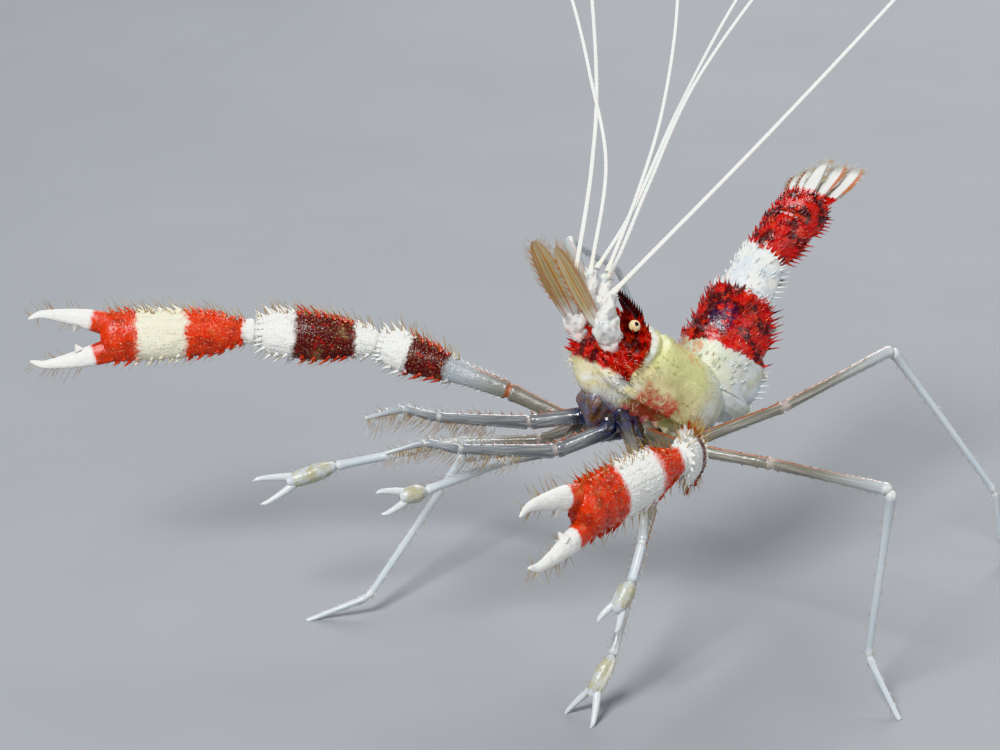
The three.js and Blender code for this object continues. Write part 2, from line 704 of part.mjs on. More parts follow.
function addAbdomen() {
  const joints = jointsOf(ABDOMEN_ROOT, ABDOMEN_RUNS);
  const path = new THREE.CatmullRomCurve3(joints);
  const total = path.getLength();
  // The curve runs through the joints, so its parameter counts whole rings. It runs tailwards,
  // so a first axis to the animal's left puts the second one on its back.
  const ringCount = ABDOMEN_RUNS.length;
  const curve = {
    getLength: () => ringCount,
    getPoint: (part) => path.getPoint(part),
    getTangent: (part) => path.getTangent(part),
  };
  const read = (column, place) => between(ABDOMEN_SECTIONS.map((row) => [row[0], row[column]]), place);
  const section = (place) => ({
    first: ABDOMEN_HALF_WIDTH * read(1, place),
    second: ABDOMEN_HALF_WIDTH * read(2, place),
    lower: ABDOMEN_HALF_WIDTH * read(3, place),
  });
  // A pair of slim paddles under a ring, trailing towards the tail
  const swimmerets = (ring) => {
    const place = ring + 0.5;
    const tangent = curve.getTangent(place / ringCount);
    const [across, up] = sectionAxes(tangent, left);
    const size = section(place);
    const length = 3.6 - 0.3 * ring;
    return [1, -1].map((side) => {
      const root = curve.getPoint(place / ringCount)
        .addScaledVector(across, side * size.first * 0.45)
        .addScaledVector(up, -size.lower * 0.8);
      const tip = root.clone()
        .addScaledVector(up, -length * 0.65)
        .addScaledVector(tangent, length * 0.7);
      return bladeSolid(root, tip, tangent, [[0, 0.35], [0.35, 0.45], [0.7, 0.75], [1, 0.3]]);
    });
  };
  for (let ring = 0; ring < ringCount; ring += 1) {
    const cut = (JOINT_GAP / 2) * (ringCount / total);
    const rings = [ring + cut, ring + 0.35, ring + 0.7, ring + 1 - cut];
    const shell = sweep(curve, rings, 12, left, section);
    const spines = [];
    for (const place of [ring + 0.35, ring + 0.75]) {
      const size = section(place);
      const tangent = curve.getTangent(place / ringCount);
      const [across, up] = sectionAxes(tangent, left);
      for (let step = -2; step <= 2; step += 1) {
        const angle = THREE.MathUtils.degToRad(step * 36 + (place > ring + 0.5 ? 18 : 0));
        const outward = across.clone().multiplyScalar(Math.sin(angle)).addScaledVector(up, Math.cos(angle));
        const at = curve.getPoint(place / ringCount)
          .addScaledVector(across, Math.sin(angle) * size.first * 0.94)
          .addScaledVector(up, Math.cos(angle) * size.second * 0.94);
        const towards = outward.addScaledVector(tangent, -0.35).normalize();
        spines.push(spine(at, towards, 0.7, ABDOMEN_SPINE_RADIUS));
      }
    }
    const paddles = ring < 5 ? swimmerets(ring) : [];
    const solid = joined(shell, [...spines, ...paddles], carapaceClearance);
    addNode(`abdomen_ring_${ring + 1}`, solid, WHITE_RINGS.includes(ring) ? WHITE : RED);
  }
  return joints[ringCount];
}

// Tail fan: the telson and two blades on each side
function addTail(end) {
  const [across, up] = sectionAxes(TAIL_LINE, left);
  const blade = (name, sideways, length, splay, lift, outline) => {
    const from = end.clone()
      .addScaledVector(TAIL_LINE, 0.4)
      .addScaledVector(across, sideways)
      .addScaledVector(up, lift);
    const line = TAIL_LINE.clone()
      .addScaledVector(across, Math.tan(THREE.MathUtils.degToRad(splay)))
      .normalize();
    const to = from.clone().addScaledVector(line, length);
    addNode(name, bladeSolid(from, to, up, outline), WHITE);
  };
  blade('telson', 0, 7, 0, 0.62, [[0, 1.1], [0.3, 1.25], [0.7, 0.95], [0.93, 0.62], [1, 0.35]]);
  for (const [word, side] of SIDES) {
    const inner = [[0, 0.5], [0.3, 1], [0.65, 1.2], [0.92, 0.85], [1, 0.42]];
    const outer = [[0, 0.5], [0.3, 1.2], [0.65, 1.5], [0.92, 1.1], [1, 0.6]];
    blade(`tail_blade_inner_${word}`, side * 1.1, 6.6, side * 8, 0, inner);
    blade(`tail_blade_outer_${word}`, side * 2, 6.9, side * 17, -0.62, outer);
  }
}
addTail(addAbdomen());

export default shrimp;
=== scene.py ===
"""The looks of a banded coral shrimp (Stenopus hispidus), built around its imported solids.

Lengths are millimetres until a mesh is made. A direction is a heading, turned anticlockwise
from +X, and a rise above the horizontal, both in degrees.
"""

import math

import bpy
import numpy as np
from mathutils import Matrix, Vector


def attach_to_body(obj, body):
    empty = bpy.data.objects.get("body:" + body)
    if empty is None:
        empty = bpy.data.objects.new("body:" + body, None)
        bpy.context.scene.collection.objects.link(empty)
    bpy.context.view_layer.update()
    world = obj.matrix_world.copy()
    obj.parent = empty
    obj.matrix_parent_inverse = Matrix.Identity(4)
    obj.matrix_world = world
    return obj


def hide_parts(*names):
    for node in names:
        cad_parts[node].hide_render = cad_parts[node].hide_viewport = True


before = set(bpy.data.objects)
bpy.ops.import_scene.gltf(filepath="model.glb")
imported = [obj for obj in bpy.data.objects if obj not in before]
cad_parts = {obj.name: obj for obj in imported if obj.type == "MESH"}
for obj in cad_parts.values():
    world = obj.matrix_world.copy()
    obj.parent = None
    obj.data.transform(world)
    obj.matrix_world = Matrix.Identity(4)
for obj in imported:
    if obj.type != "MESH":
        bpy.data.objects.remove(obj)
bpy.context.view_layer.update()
random = np.random.default_rng(7)

MM = 0.001
LEFT, RIGHT = 1, -1
# How wide each hair's patch is on the map of its skin
TUFT_PATCH = 0.003

# Driving dimensions, as in the solids, except for the feelers, which are as slim as in life
CARAPACE_LENGTH = 18.7
CARAPACE_HALF_WIDTH = 4.7
CARAPACE_HALF_HEIGHT = 5.1
CARAPACE_REAR = -0.41
ABDOMEN_HALF_WIDTH = 4.4
CLAW_PALM_LENGTH = 17.4
CLAW_PALM_HALF_DEPTH = 2.75
CLAW_FLATNESS = 0.62
CLAW_FINGER_LENGTH = 7.9
CLAW_FINGER_SPREAD = 1.5
WALKING_LEG_RADIUS = 0.52
PINCER_LEG_RADIUS = 0.48
FEELER_RADIUS = 0.25
FEELER_TIP_RADIUS = 0.15
FIN_HALF_THICKNESS = 0.26
EYE_RADIUS = 0.72
SOLE_RADIUS = 0.4
SOLE_CUT = -0.2


# Directions and smooth lines

def direction(heading, rise):
    turn, lift = math.radians(heading), math.radians(rise)
    return np.array([math.cos(lift) * math.cos(turn), math.cos(lift) * math.sin(turn), math.sin(lift)])


def unit(vectors):
    return vectors / np.linalg.norm(vectors, axis=-1, keepdims=True)


BODY_CENTRE = np.array([6.94, 3.38, 28.65])
BODY_HEADING = 210
BODY_RISE = 38
BODY_ROLL = math.radians(8)
FORWARD = direction(BODY_HEADING, BODY_RISE)
LEVEL = direction(BODY_HEADING + 90, 0)
LEFTWARD = LEVEL * math.cos(BODY_ROLL) + np.cross(FORWARD, LEVEL) * math.sin(BODY_ROLL)
DORSAL = np.cross(FORWARD, LEFTWARD)


def body_direction(ahead, sideways, up):
    """A direction given along the body's axes. Each part may be an array."""
    parts = [np.asarray(part, float)[..., None] for part in (ahead, sideways, up)]
    return parts[0] * FORWARD + parts[1] * LEFTWARD + parts[2] * DORSAL


def on_body(ahead, sideways, up):
    return BODY_CENTRE + body_direction(ahead, sideways, up)


THORAX_FLOOR_UP = -4.4
ATTACH_SIDE = 3.05
ATTACH_UP = -5.9


def attach(ahead, side):
    """Where a limb leaves the thorax."""
    return on_body(ahead, ATTACH_SIDE * side, ATTACH_UP)


def smooth(marks, place):
    """A smooth line through [place, value] marks, with no overshoot, level outside them."""
    places, values = np.array(marks, float).T
    rises = np.diff(values) / np.diff(places)
    before = np.concatenate([[0], rises])
    after = np.concatenate([rises, [0]])
    same_way = before * after > 0
    slopes = np.where(same_way, 2 * before * after / np.where(same_way, before + after, 1), 0)
    place = np.clip(place, places[0], places[-1])
    index = np.clip(np.searchsorted(places, place) - 1, 0, len(places) - 2)
    width = places[index + 1] - places[index]
    t = (place - places[index]) / width
    return (
        values[index] * (1 + 2 * t) * (1 - t) ** 2
        + values[index + 1] * t * t * (3 - 2 * t)
        + slopes[index] * width * t * (1 - t) ** 2
        + slopes[index + 1] * width * t * t * (t - 1)
    )


def rows_of(*columns):
    """Numbers and arrays, side by side as columns, each spread over the shape of the others."""
    return np.stack(np.broadcast_arrays(*columns), -1).astype(float)


def hump(place, centre, width):
    return np.exp(-(((place - centre) / width) ** 2))


def step(place, low, high):
    t = np.clip((place - low) / (high - low), 0, 1)
    return t * t * (3 - 2 * t)


class Path:
    """A centreline that is read by distance along it."""

    def __init__(self, points):
        self.points = np.asarray(points, float)
        steps = np.linalg.norm(np.diff(self.points, axis=0), axis=1)
        self.distances = np.concatenate([[0], np.cumsum(steps)])
        self.length = self.distances[-1]
        self.slopes = unit(np.gradient(self.points, self.distances, axis=0))

    def _read(self, rows, distance):
        return np.stack([np.interp(distance, self.distances, rows[:, axis]) for axis in range(3)], -1)

    def point(self, distance):
        return self._read(self.points, distance)

    def tangent(self, distance):
        return unit(self._read(self.slopes, distance))


def straight(start, end):
    return Path(np.linspace(start, end, 40))


def quadratic(start, middle, end, count):
    t = np.linspace(0, 1, count)[:, None]
    return start * (1 - t) ** 2 + 2 * middle * t * (1 - t) + end * t * t


def joints_of(start, segments, to_floor=None):
    """Joint positions of a limb. A segment with no rise is tilted so that its end has height to_floor."""
    joints = [np.asarray(start, float)]
    for length, heading, rise in segments:
        if rise is None:
            rise = -math.degrees(math.asin((joints[-1][2] - to_floor) / length))
        joints.append(joints[-1] + length * direction(heading, rise))
    return joints


def rounded_path(joints, corner):
    """Straight runs with their corners rounded off, and how far along it each joint lies."""
    points, middles = [joints[0]], []
    for before, joint, after in zip(joints, joints[1:], joints[2:]):
        enter = joint - corner * unit(joint - before)
        leave = joint + corner * unit(after - joint)
        points.extend(np.linspace(points[-1], enter, 12)[1:-1])
        middles.append(len(points) + 5)
        points.extend(quadratic(enter, joint, leave, 11))
    points.extend(np.linspace(points[-1], joints[-1], 12)[1:])
    path = Path(points)
    return path, np.array([0, *path.distances[middles], path.length])


def catmull_rom(joints, per_run=24):
    """The centripetal curve through the joints, as even steps of its parameter."""
    joints = [np.asarray(joint, float) for joint in joints]
    chain = [2 * joints[0] - joints[1], *joints, 2 * joints[-1] - joints[-2]]
    t = np.linspace(0, 1, per_run, endpoint=False)[:, None]
    runs = []
    for p0, p1, p2, p3 in zip(chain, chain[1:], chain[2:], chain[3:]):
        d0, d1, d2 = (math.sqrt(np.linalg.norm(b - a)) for a, b in ((p0, p1), (p1, p2), (p2, p3)))
        leave = ((p1 - p0) / d0 - (p2 - p0) / (d0 + d1) + (p2 - p1) / d1) * d1
        arrive = ((p2 - p1) / d1 - (p3 - p1) / (d1 + d2) + (p3 - p2) / d2) * d1
        bend = 3 * (p2 - p1) - 2 * leave - arrive
        twist = 2 * (p1 - p2) + leave + arrive
        runs.append(p1 + leave * t + bend * t**2 + twist * t**3)
    return np.concatenate([*runs, [joints[-1]]])


def section_axes(tangent, face):
    """The two axes of a section: the first follows face, both are square to the path."""
    face = np.broadcast_to(face, tangent.shape)
    first = unit(face - tangent * np.sum(face * tangent, -1, keepdims=True))
    return first, np.cross(first, tangent)


# Meshes

class Piece:
    """Gathers the surfaces of one piece, with a three-number mark at each point for its markings."""

    def __init__(self):
        self.points, self.faces, self.marks, self.patches = [], [], [], []
        self.count = 0

    def add(self, points, faces, marks, patches=None):
        points = np.asarray(points).reshape(-1, 3)
        for rows in faces:
            self.faces.extend((rows + self.count).tolist())
        self.points.append(points)
        self.marks.append(np.broadcast_to(np.asarray(marks, float), points.shape))
        if patches is not None:
            self.patches.append(patches)
        self.count += len(points)

    def make(self, name, material, slot, replaces=()):
        points = np.concatenate(self.points)
        points[:, 2] = np.maximum(points[:, 2], 0)
        mesh = bpy.data.meshes.new(name)
        mesh.from_pydata((points * MM).tolist(), [], self.faces)
        marks = mesh.attributes.new("mark", "FLOAT_VECTOR", "POINT")
        marks.data.foreach_set("vector", np.concatenate(self.marks).astype(np.float32).ravel())
        mesh.shade_smooth()
        if self.patches:
            corners = np.empty(len(mesh.loops), np.int32)
            mesh.loops.foreach_get("vertex_index", corners)
            places = np.concatenate(self.patches).astype(np.float32)[corners]
            mesh.uv_layers.new(name="OFBake").data.foreach_set("uv", places.ravel())
        mesh.materials.append(material)
        made = bpy.data.objects.new(name, mesh)
        bpy.context.scene.collection.objects.link(made)
        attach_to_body(made, "root")
        if replaces:
            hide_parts(*replaces)
        return made


def tube_faces(rings, sides):
    """Quads of a tube whose points run ring by ring, and the triangles over its two ends."""
    ring, side = np.meshgrid(np.arange(rings - 1), np.arange(sides), indexing="ij")
    here = (ring * sides + side).ravel()
    beside = (ring * sides + (side + 1) % sides).ravel()
    quads = np.stack([here, here + sides, beside + sides, beside], -1)
    side = np.arange(sides)
    after = (side + 1) % sides
    last = (rings - 1) * sides
    start = np.stack([np.full(sides, rings * sides), side, after], -1)
    end = np.stack([np.full(sides, rings * sides + 1), last + after, last + side], -1)
    return [quads, start, end]


def sweep(piece, path, distances, sides, face, halves, mark):
    """A closed tube along path. halves(distance, angle) gives the half sizes along the section's
    two axes, and mark(distance, angle) the three numbers of its markings, arrays or plain."""
    angles = np.arange(sides) * 2 * math.pi / sides
    distance, angle = np.meshgrid(distances, angles, indexing="ij")
    first, second = section_axes(path.tangent(distances), face)
    first_half, second_half = halves(distance, angle)
    centre = path.point(distances)
    points = (
        centre[:, None]
        + first[:, None] * (np.cos(angle) * first_half)[..., None]
        + second[:, None] * (np.sin(angle) * second_half)[..., None]
    )
    marks = np.broadcast_to(rows_of(*mark(distance, angle)), points.shape)
    ends = [0, -1]
    piece.add(
        np.concatenate([points.reshape(-1, 3), centre[ends]]),
        tube_faces(len(distances), sides),
        np.concatenate([marks.reshape(-1, 3), marks[ends, 0]]),
    )


def hairs(coat, roots, aims, lengths, radii, marks, unwrap, bend=None):
    """Slim three-sided hairs. unwrap gives their roots' places on their skin's own map."""
    spikes(coat, roots, aims, lengths, radii, marks, sides=3, rings=4, bend=bend, unwrap=unwrap)


def spikes(piece, roots, aims, lengths, radii, marks, sides=6, rings=5, bend=None, unwrap=None):
    """Many cones at once, each sunk a little into what it grows from. bend moves a tip sideways.
    A cone with an unwrapped root is a hair, which is slim all the way."""
    count = len(roots)
    if not count:
        return
    aims = unit(np.asarray(aims, float))
    lengths = np.broadcast_to(lengths, count)[:, None, None]
    radii = np.broadcast_to(radii, count)[:, None, None]
    bend = np.zeros((count, 3)) if bend is None else bend
    t = np.linspace(-0.12, 0.96, rings)[None, :, None]
    helper = np.where(np.abs(aims[:, 2:]) > 0.9, [[1.0, 0, 0]], [[0, 0, 1.0]])
    first = unit(np.cross(aims, helper))
    second = np.cross(aims, first)
    rise = np.maximum(t, 0)
    centre = roots[:, None] + aims[:, None] * lengths * t + bend[:, None] * rise**2
    if unwrap is None:
        width = (1 - rise) ** 0.8 + 0.55 * np.exp(-rise / 0.1)
    else:
        width = 1 - 0.75 * rise
    angle = np.arange(sides) * 2 * math.pi / sides
    across = first[:, None] * np.cos(angle)[:, None] + second[:, None] * np.sin(angle)[:, None]
    points = centre[:, :, None] + (radii * width)[..., None] * across[:, None]
    tips = roots[:, None] + aims[:, None] * lengths + bend[:, None]
    points = np.concatenate([points.reshape(count, -1, 3), tips], 1)
    each = rings * sides + 1
    quads, _, end = tube_faces(rings, sides)
    end = np.where(end == rings * sides + 1, rings * sides, end)
    offsets = (np.arange(count) * each)[:, None, None]
    faces = [(rows[:, ::-1] + offsets).reshape(-1, rows.shape[1]) for rows in (quads, end)]
    marks = np.repeat(np.broadcast_to(marks, (count, 3)), each, axis=0)
    patches = None
    if unwrap is not None:
        around = np.concatenate([np.tile(np.arange(sides) / sides, rings), [0.5]]) * TUFT_PATCH
        along = np.concatenate([np.repeat(np.linspace(0, 0.9, rings), sides), [1]]) * TUFT_PATCH
        patches = (unwrap[:, None] + np.stack([around, along], -1)).reshape(-1, 2)
    piece.add(points, faces, marks, patches)


# Materials

def paint(colour):
    """A colour written as red, green and blue hex digits, as Blender's linear light."""
    parts = [int(colour[i:i + 2], 16) / 255 for i in (0, 2, 4)]
    return [part / 12.92 if part <= 0.04045 else ((part + 0.055) / 1.055) ** 2.4 for part in parts] + [1]


WHITE = paint("ebebe6")
COOL_WHITE = paint("ccd6dc")
CREAM = paint("ece0b0")
RED = paint("bd0f06")
ORANGE_RED = paint("d43408")
ORANGE = paint("c9651c")
MAROON = paint("4a0406")
DARK = paint("16050a")
PINK = paint("c75f52")
CLEAR_GREY = paint("8f8d80")
CLEAR_BROWN = paint("a98a5c")
OLIVE = paint("b3aa74")
GREEN = paint("c6cb8c")
BLUE = paint("333a66")
STRAW = paint("cdb57c")
GOLD = paint("9a7434")
SHADE = paint("6b4a3c")
VIOLET = paint("24103c")
MILKY = paint("bfc0b2")
PALE_CREAM = paint("ebe7d0")


class Paint:
    """Builds the nodes of one material."""

    def __init__(self, name):
        self.material = bpy.data.materials.new(name)
        self.material.use_nodes = True
        self.tree = self.material.node_tree
        self.tree.nodes.clear()
        mark = self.node("Attribute", attribute_name="mark")
        parts = self.node("SeparateXYZ", {0: mark.outputs["Vector"]})
        self.x, self.y, self.z = parts.outputs
        self.place = self.node("TexCoord").outputs["Object"]

    def node(self, kind, inputs=None, **settings):
        made = self.tree.nodes.new("ShaderNode" + kind)
        for key, value in settings.items():
            setattr(made, key, value)
        for key, value in (inputs or {}).items():
            if isinstance(value, bpy.types.NodeSocket):
                self.tree.links.new(value, made.inputs[key])
            else:
                made.inputs[key].default_value = value
        return made

    def math(self, operation, *values):
        return self.node("Math", dict(enumerate(values)), operation=operation).outputs[0]

    def noise(self, size, detail=3):
        """Noise about 0.5 whose features are about size millimetres across."""
        made = self.node("TexNoise", {"Vector": self.place, "Scale": 1 / (size * MM), "Detail": detail})
        return made.outputs["Fac"]

    def warped(self, value, size, reach):
        """A value pushed up and down by noise, for ragged edges."""
        return self.math("MULTIPLY_ADD", self.math("SUBTRACT", self.noise(size), 0.5), 2 * reach, value)

    def over(self, value, low, high):
        """0 below low, 1 above high, smooth between."""
        inputs = {"Value": value, "From Min": low, "From Max": high}
        return self.node("MapRange", inputs, interpolation_type="SMOOTHSTEP").outputs["Result"]

    def within(self, value, low, high, blur):
        """1 between low and high, 0 outside them."""
        risen = self.over(value, low - blur, low + blur)
        return self.times(risen, self.over(value, high + blur, high - blur))

    def times(self, *factors):
        product = factors[0]
        for factor in factors[1:]:
            product = self.math("MULTIPLY", product, factor)
        return product

    def streaks(self, along, across):
        """Noise drawn out along a blade, with so many streaks along and across it."""
        place = self.node("CombineXYZ", {0: self.times(self.x, along), 1: self.times(self.y, across)})
        made = self.node("TexNoise", {"Vector": place.outputs[0], "Scale": 1.0, "Detail": 3.0})
        return made.outputs["Fac"]

    def mix(self, factor, one, other):
        made = self.node("Mix", {0: factor, 6: one, 7: other}, data_type="RGBA")
        return made.outputs[2]

    def tint(self, colour, other, *masks):
        """The other colour over this one, as strongly as the masks multiplied together."""
        return self.mix(self.times(*masks), colour, other)

    def bands(self, value, start, marks, blur):
        """Colours laid end to end along value: each mark is [where it ends, colour]."""
        end = marks[-1][0]
        part = self.node("MapRange", {"Value": value, "From Min": start, "From Max": end}).outputs[0]
        ramp = self.node("ValToRGB", {0: part})
        stops = [(start, marks[0][1])]
        for (edge, colour), (_, following) in zip(marks, marks[1:]):
            stops += [(edge - blur, colour), (edge + blur, following)]
        stops.append((end, marks[-1][1]))
        elements = ramp.color_ramp.elements
        while len(elements) < len(stops):
            elements.new(0.5)
        for element, (at, colour) in zip(elements, stops):
            element.position = (at - start) / (end - start)
            element.color = colour
        return ramp.outputs["Color"]

    def bump(self, *layers):
        """Layers of [height, depth in millimetres], one on the other."""
        normal = None
        for height, depth in layers:
            inputs = {"Height": height, "Distance": depth * MM}
            if normal is not None:
                inputs["Normal"] = normal
            normal = self.node("Bump", inputs).outputs["Normal"]
        return normal

    def finish(self, colour, normal, roughness=0.3, coat=0.5, glow=0.0, clear=0.0, cover=None):
        """glow is how much light spreads under the surface, clear how much goes through it."""
        inputs = {
            "Base Color": colour, "Normal": normal, "Coat Normal": normal, "Roughness": roughness,
            "Coat Weight": coat, "Coat Roughness": 0.12, "Subsurface Weight": glow,
            "Subsurface Radius": (1.0, 0.5, 0.4), "Subsurface Scale": 0.6 * MM,
            "Transmission Weight": clear, "IOR": 1.4,
        }
        if cover is not None:
            inputs["Alpha"] = cover
        shader = self.node("BsdfPrincipled", inputs)
        self.node("OutputMaterial", {"Surface": shader.outputs[0]})
        return self.material


def chitin(p, colour, **settings):
    """A finish of fine grains, shallow pits and slow swells over a shell's colour."""
    speckled = p.tint(colour, WHITE, p.over(p.noise(0.22), 0.52, 0.75), 0.14)
    shaded = p.tint(speckled, SHADE, p.over(p.noise(0.7), 0.5, 0.8), 0.22)
    normal = p.bump((p.noise(1.2), 0.12), (p.noise(0.18), 0.06))
    return p.finish(shaded, normal, **settings)


def claw_shell(name, bands):
    """Bands across a great claw. x counts segments back from the hinge, and z is 1 on spines."""
    p = Paint(name)
    place = p.warped(p.warped(p.x, 1.6, 0.05), 0.4, 0.025)
    clear = p.over(place, -2.49, -2.55)
    base = p.tint(p.bands(place, -5, bands, 0.014), COOL_WHITE, clear, p.over(place, -3.1, -2.55), 0.9)
    top_edge = p.times(p.over(p.y, 0.8, 0.96), p.over(place, -2.6, -2.8))
    at_joint = p.over(p.math("ABSOLUTE", p.math("ADD", p.x, 3)), 0.035, 0.015)
    base = p.tint(base, ORANGE, p.math("MAXIMUM", top_edge, at_joint), 0.7)
    is_red = p.over(p.node("SeparateColor", {0: base}).outputs["Green"], 0.25, 0.1)
    dark = p.over(p.noise(1.5), 0.5, 0.66)
    blotched = p.tint(base, MAROON, is_red, dark, 0.45)
    lit = p.tint(blotched, RED, is_red, p.over(p.noise(0.8), 0.54, 0.68), 0.45)
    dusty = p.tint(lit, STRAW, is_red, p.over(p.noise(2.6), 0.56, 0.74), 0.3)
    spined = p.tint(dusty, ORANGE_RED, p.z, is_red, 0.6)
    spined = p.tint(spined, WHITE, p.z, clear, 0.9)
    lined = p.tint(spined, SHADE, p.over(p.streaks(5, 10), 0.5, 0.62), 0.22)
    beaded = p.tint(lined, STRAW, p.over(p.streaks(40, 10), 0.58, 0.66), is_red, 0.3)
    return chitin(p, beaded, roughness=0.3, coat=0.55, glow=0.14, clear=p.times(clear, 0.4))


def clear_shell(name, bare, edge, clear=0.4, whitens=(1.2, 2.3), palm=0.0):
    """A clear limb: x counts its joints, y is 1 and -1 on its two edges. It turns white between the
    two joints of whitens, and palm is how brown the palm of a pincer is."""
    p = Paint(name)
    at_joint = p.over(p.math("PINGPONG", p.x, 0.5), 0.05, 0.01)
    on_edge = p.over(p.warped(p.math("ABSOLUTE", p.y), 0.8, 0.04), 0.9, 0.98)
    far = p.over(p.x, *whitens)
    pale = p.mix(far, bare, COOL_WHITE)
    in_palm = p.within(p.math("FRACT", p.x), 0.1, 0.88, 0.06)
    pale = p.tint(pale, OLIVE, in_palm, p.over(p.noise(1.2), 0.3, 0.6), palm)
    lined = p.tint(pale, WHITE, p.over(p.streaks(2.2, 6), 0.5, 0.62), 0.45)
    clouded = p.tint(lined, SHADE, p.over(p.streaks(1.1, 9), 0.52, 0.64), p.over(far, 1.7, 0.0), 0.4)
    edged = p.tint(clouded, edge, on_edge, p.over(p.x, 2.6, 0.6), 0.65)
    white_edge = p.tint(edged, WHITE, on_edge, p.over(p.x, 0.8, 2.4), 0.5)
    ring = p.mix(p.over(p.x, 1.8, 0.5), WHITE, p.mix(0.35, WHITE, edge))
    jointed = p.tint(white_edge, ring, at_joint, 0.6)
    # Towards the body each limb darkens to blue-black: painted shade where the limbs go in under the body,
    # over their own bluish-grey tone
    dark = p.mix(p.over(p.noise(1.1), 0.42, 0.6), DARK, BLUE)
    root_shade_and_tone = p.tint(jointed, dark, p.over(p.warped(p.x, 0.9, 0.12), 0.45, 0.02), 0.8)
    normal = p.bump((p.noise(0.7), 0.05), (p.noise(0.15), 0.02))
    see_through = p.times(p.over(far, 2.0, 0.0), clear)
    return p.finish(root_shade_and_tone, normal, roughness=0.18, coat=0.7, glow=0.05, clear=see_through)


def whip_shell():
    """White feelers, straw coloured at the root. x is the part of the length."""
    p = Paint("white_feeler")
    base = p.tint(WHITE, PALE_CREAM, p.over(p.warped(p.x, 3, 0.02), 0.07, 0.0), 0.4)
    colour = p.tint(base, COOL_WHITE, p.over(p.noise(1.1), 0.5, 0.7), 0.25)
    normal = p.bump((p.noise(0.3), 0.02))
    return p.finish(colour, normal, roughness=0.38, coat=0.3, glow=0.25)


def blob(p, centre, radii, blur=0.35):
    """1 inside an egg-shaped region of the marks, 0 outside it, with a ragged edge."""
    parts = [
        p.math("POWER", p.math("DIVIDE", p.math("SUBTRACT", value, at), radius), 2)
        for value, at, radius in zip((p.x, p.y, p.z), centre, radii)
    ]
    apart = p.math("ADD", p.math("ADD", parts[0], parts[1]), parts[2])
    return p.over(p.warped(apart, 0.9, 0.45), 1 + blur, 1 - blur)


def milky(p):
    """The cloudy, nearly clear shell of the back half of the body."""
    return p.mix(p.over(p.noise(2.2), 0.36, 0.7), MILKY, COOL_WHITE)


def mottled_red(p):
    """Red with maroon clouds and orange-red flecks."""
    clouded = p.mix(p.over(p.noise(1.9), 0.44, 0.58), RED, MAROON)
    return p.tint(clouded, ORANGE_RED, p.over(p.noise(0.8), 0.52, 0.66), 0.75)


def carapace_shell():
    """The marks are places along the body's axes: ahead, leftwards and up, in millimetres."""
    p = Paint("carapace_shell")
    colour = p.mix(p.over(p.noise(2.8), 0.3, 0.75), OLIVE, CREAM)
    colour = p.tint(colour, GREEN, p.over(p.warped(p.z, 2, 0.8), -0.5, 2.2), 0.75)
    colour = p.tint(colour, milky(p), p.over(p.warped(p.x, 2, 1), -2.5, -6.5), 0.9)
    orange_spot = blob(p, (-1.8, 2.7, 4.2), (1.1, 1.2, 1.1))
    colour = p.tint(colour, ORANGE, orange_spot, p.over(p.noise(0.8), 0.45, 0.6), 0.5)
    pink = p.within(p.warped(p.x, 1.3, 1.4), -1.4, 4.2, 0.6)
    low = p.within(p.warped(p.z, 1.3, 0.7), -6, -1.3, 0.7)
    colour = p.tint(colour, PINK, pink, low, p.over(p.noise(0.9), 0.28, 0.55), 0.95)
    crimson = p.times(pink, low, p.over(p.noise(0.7), 0.52, 0.64), 0.5)
    colour = p.mix(crimson, colour, RED)
    below_head = p.over(p.warped(p.z, 1.6, 0.5), -1.0, -2.2)
    cheek = p.times(p.within(p.warped(p.x, 1.6, 0.9), 4.4, 9.6, 0.8), below_head)
    colour = p.mix(cheek, colour, p.mix(p.over(p.noise(1.6), 0.4, 0.7), WHITE, CREAM))
    # Behind the red of the head runs a pale line, and both lean back a little as they rise
    slanted = p.math("MULTIPLY_ADD", p.z, 0.21, p.x)
    pale_line = p.times(p.within(p.warped(slanted, 1.2, 0.3), 4.9, 5.9, 0.35), p.over(p.z, -0.5, 1.5))
    colour = p.tint(colour, WHITE, pale_line, 0.85)
    above_cheek = p.over(p.warped(p.z, 1.0, 0.5), -2.4, -1.8)
    head = p.times(p.over(p.warped(slanted, 1.0, 0.45), 5.75, 6.05), above_cheek)
    colour = p.mix(head, colour, mottled_red(p))
    # Under the head and between the legs the shell is dark and bluish: painted shade under the body, over
    # the underside's own bluish tone
    under = p.over(p.warped(p.z, 1.2, 0.5), -4.5, -5.5)
    colour = p.tint(colour, p.mix(p.over(p.noise(1.2), 0.4, 0.6), MAROON, BLUE), under, 0.85)
    beak = p.over(p.x, 11.5, 12.5)
    colour = p.mix(beak, colour, p.mix(p.over(p.noise(0.6), 0.4, 0.6), MAROON, DARK))
    return chitin(p, colour, roughness=0.27, coat=0.6, glow=0.16)


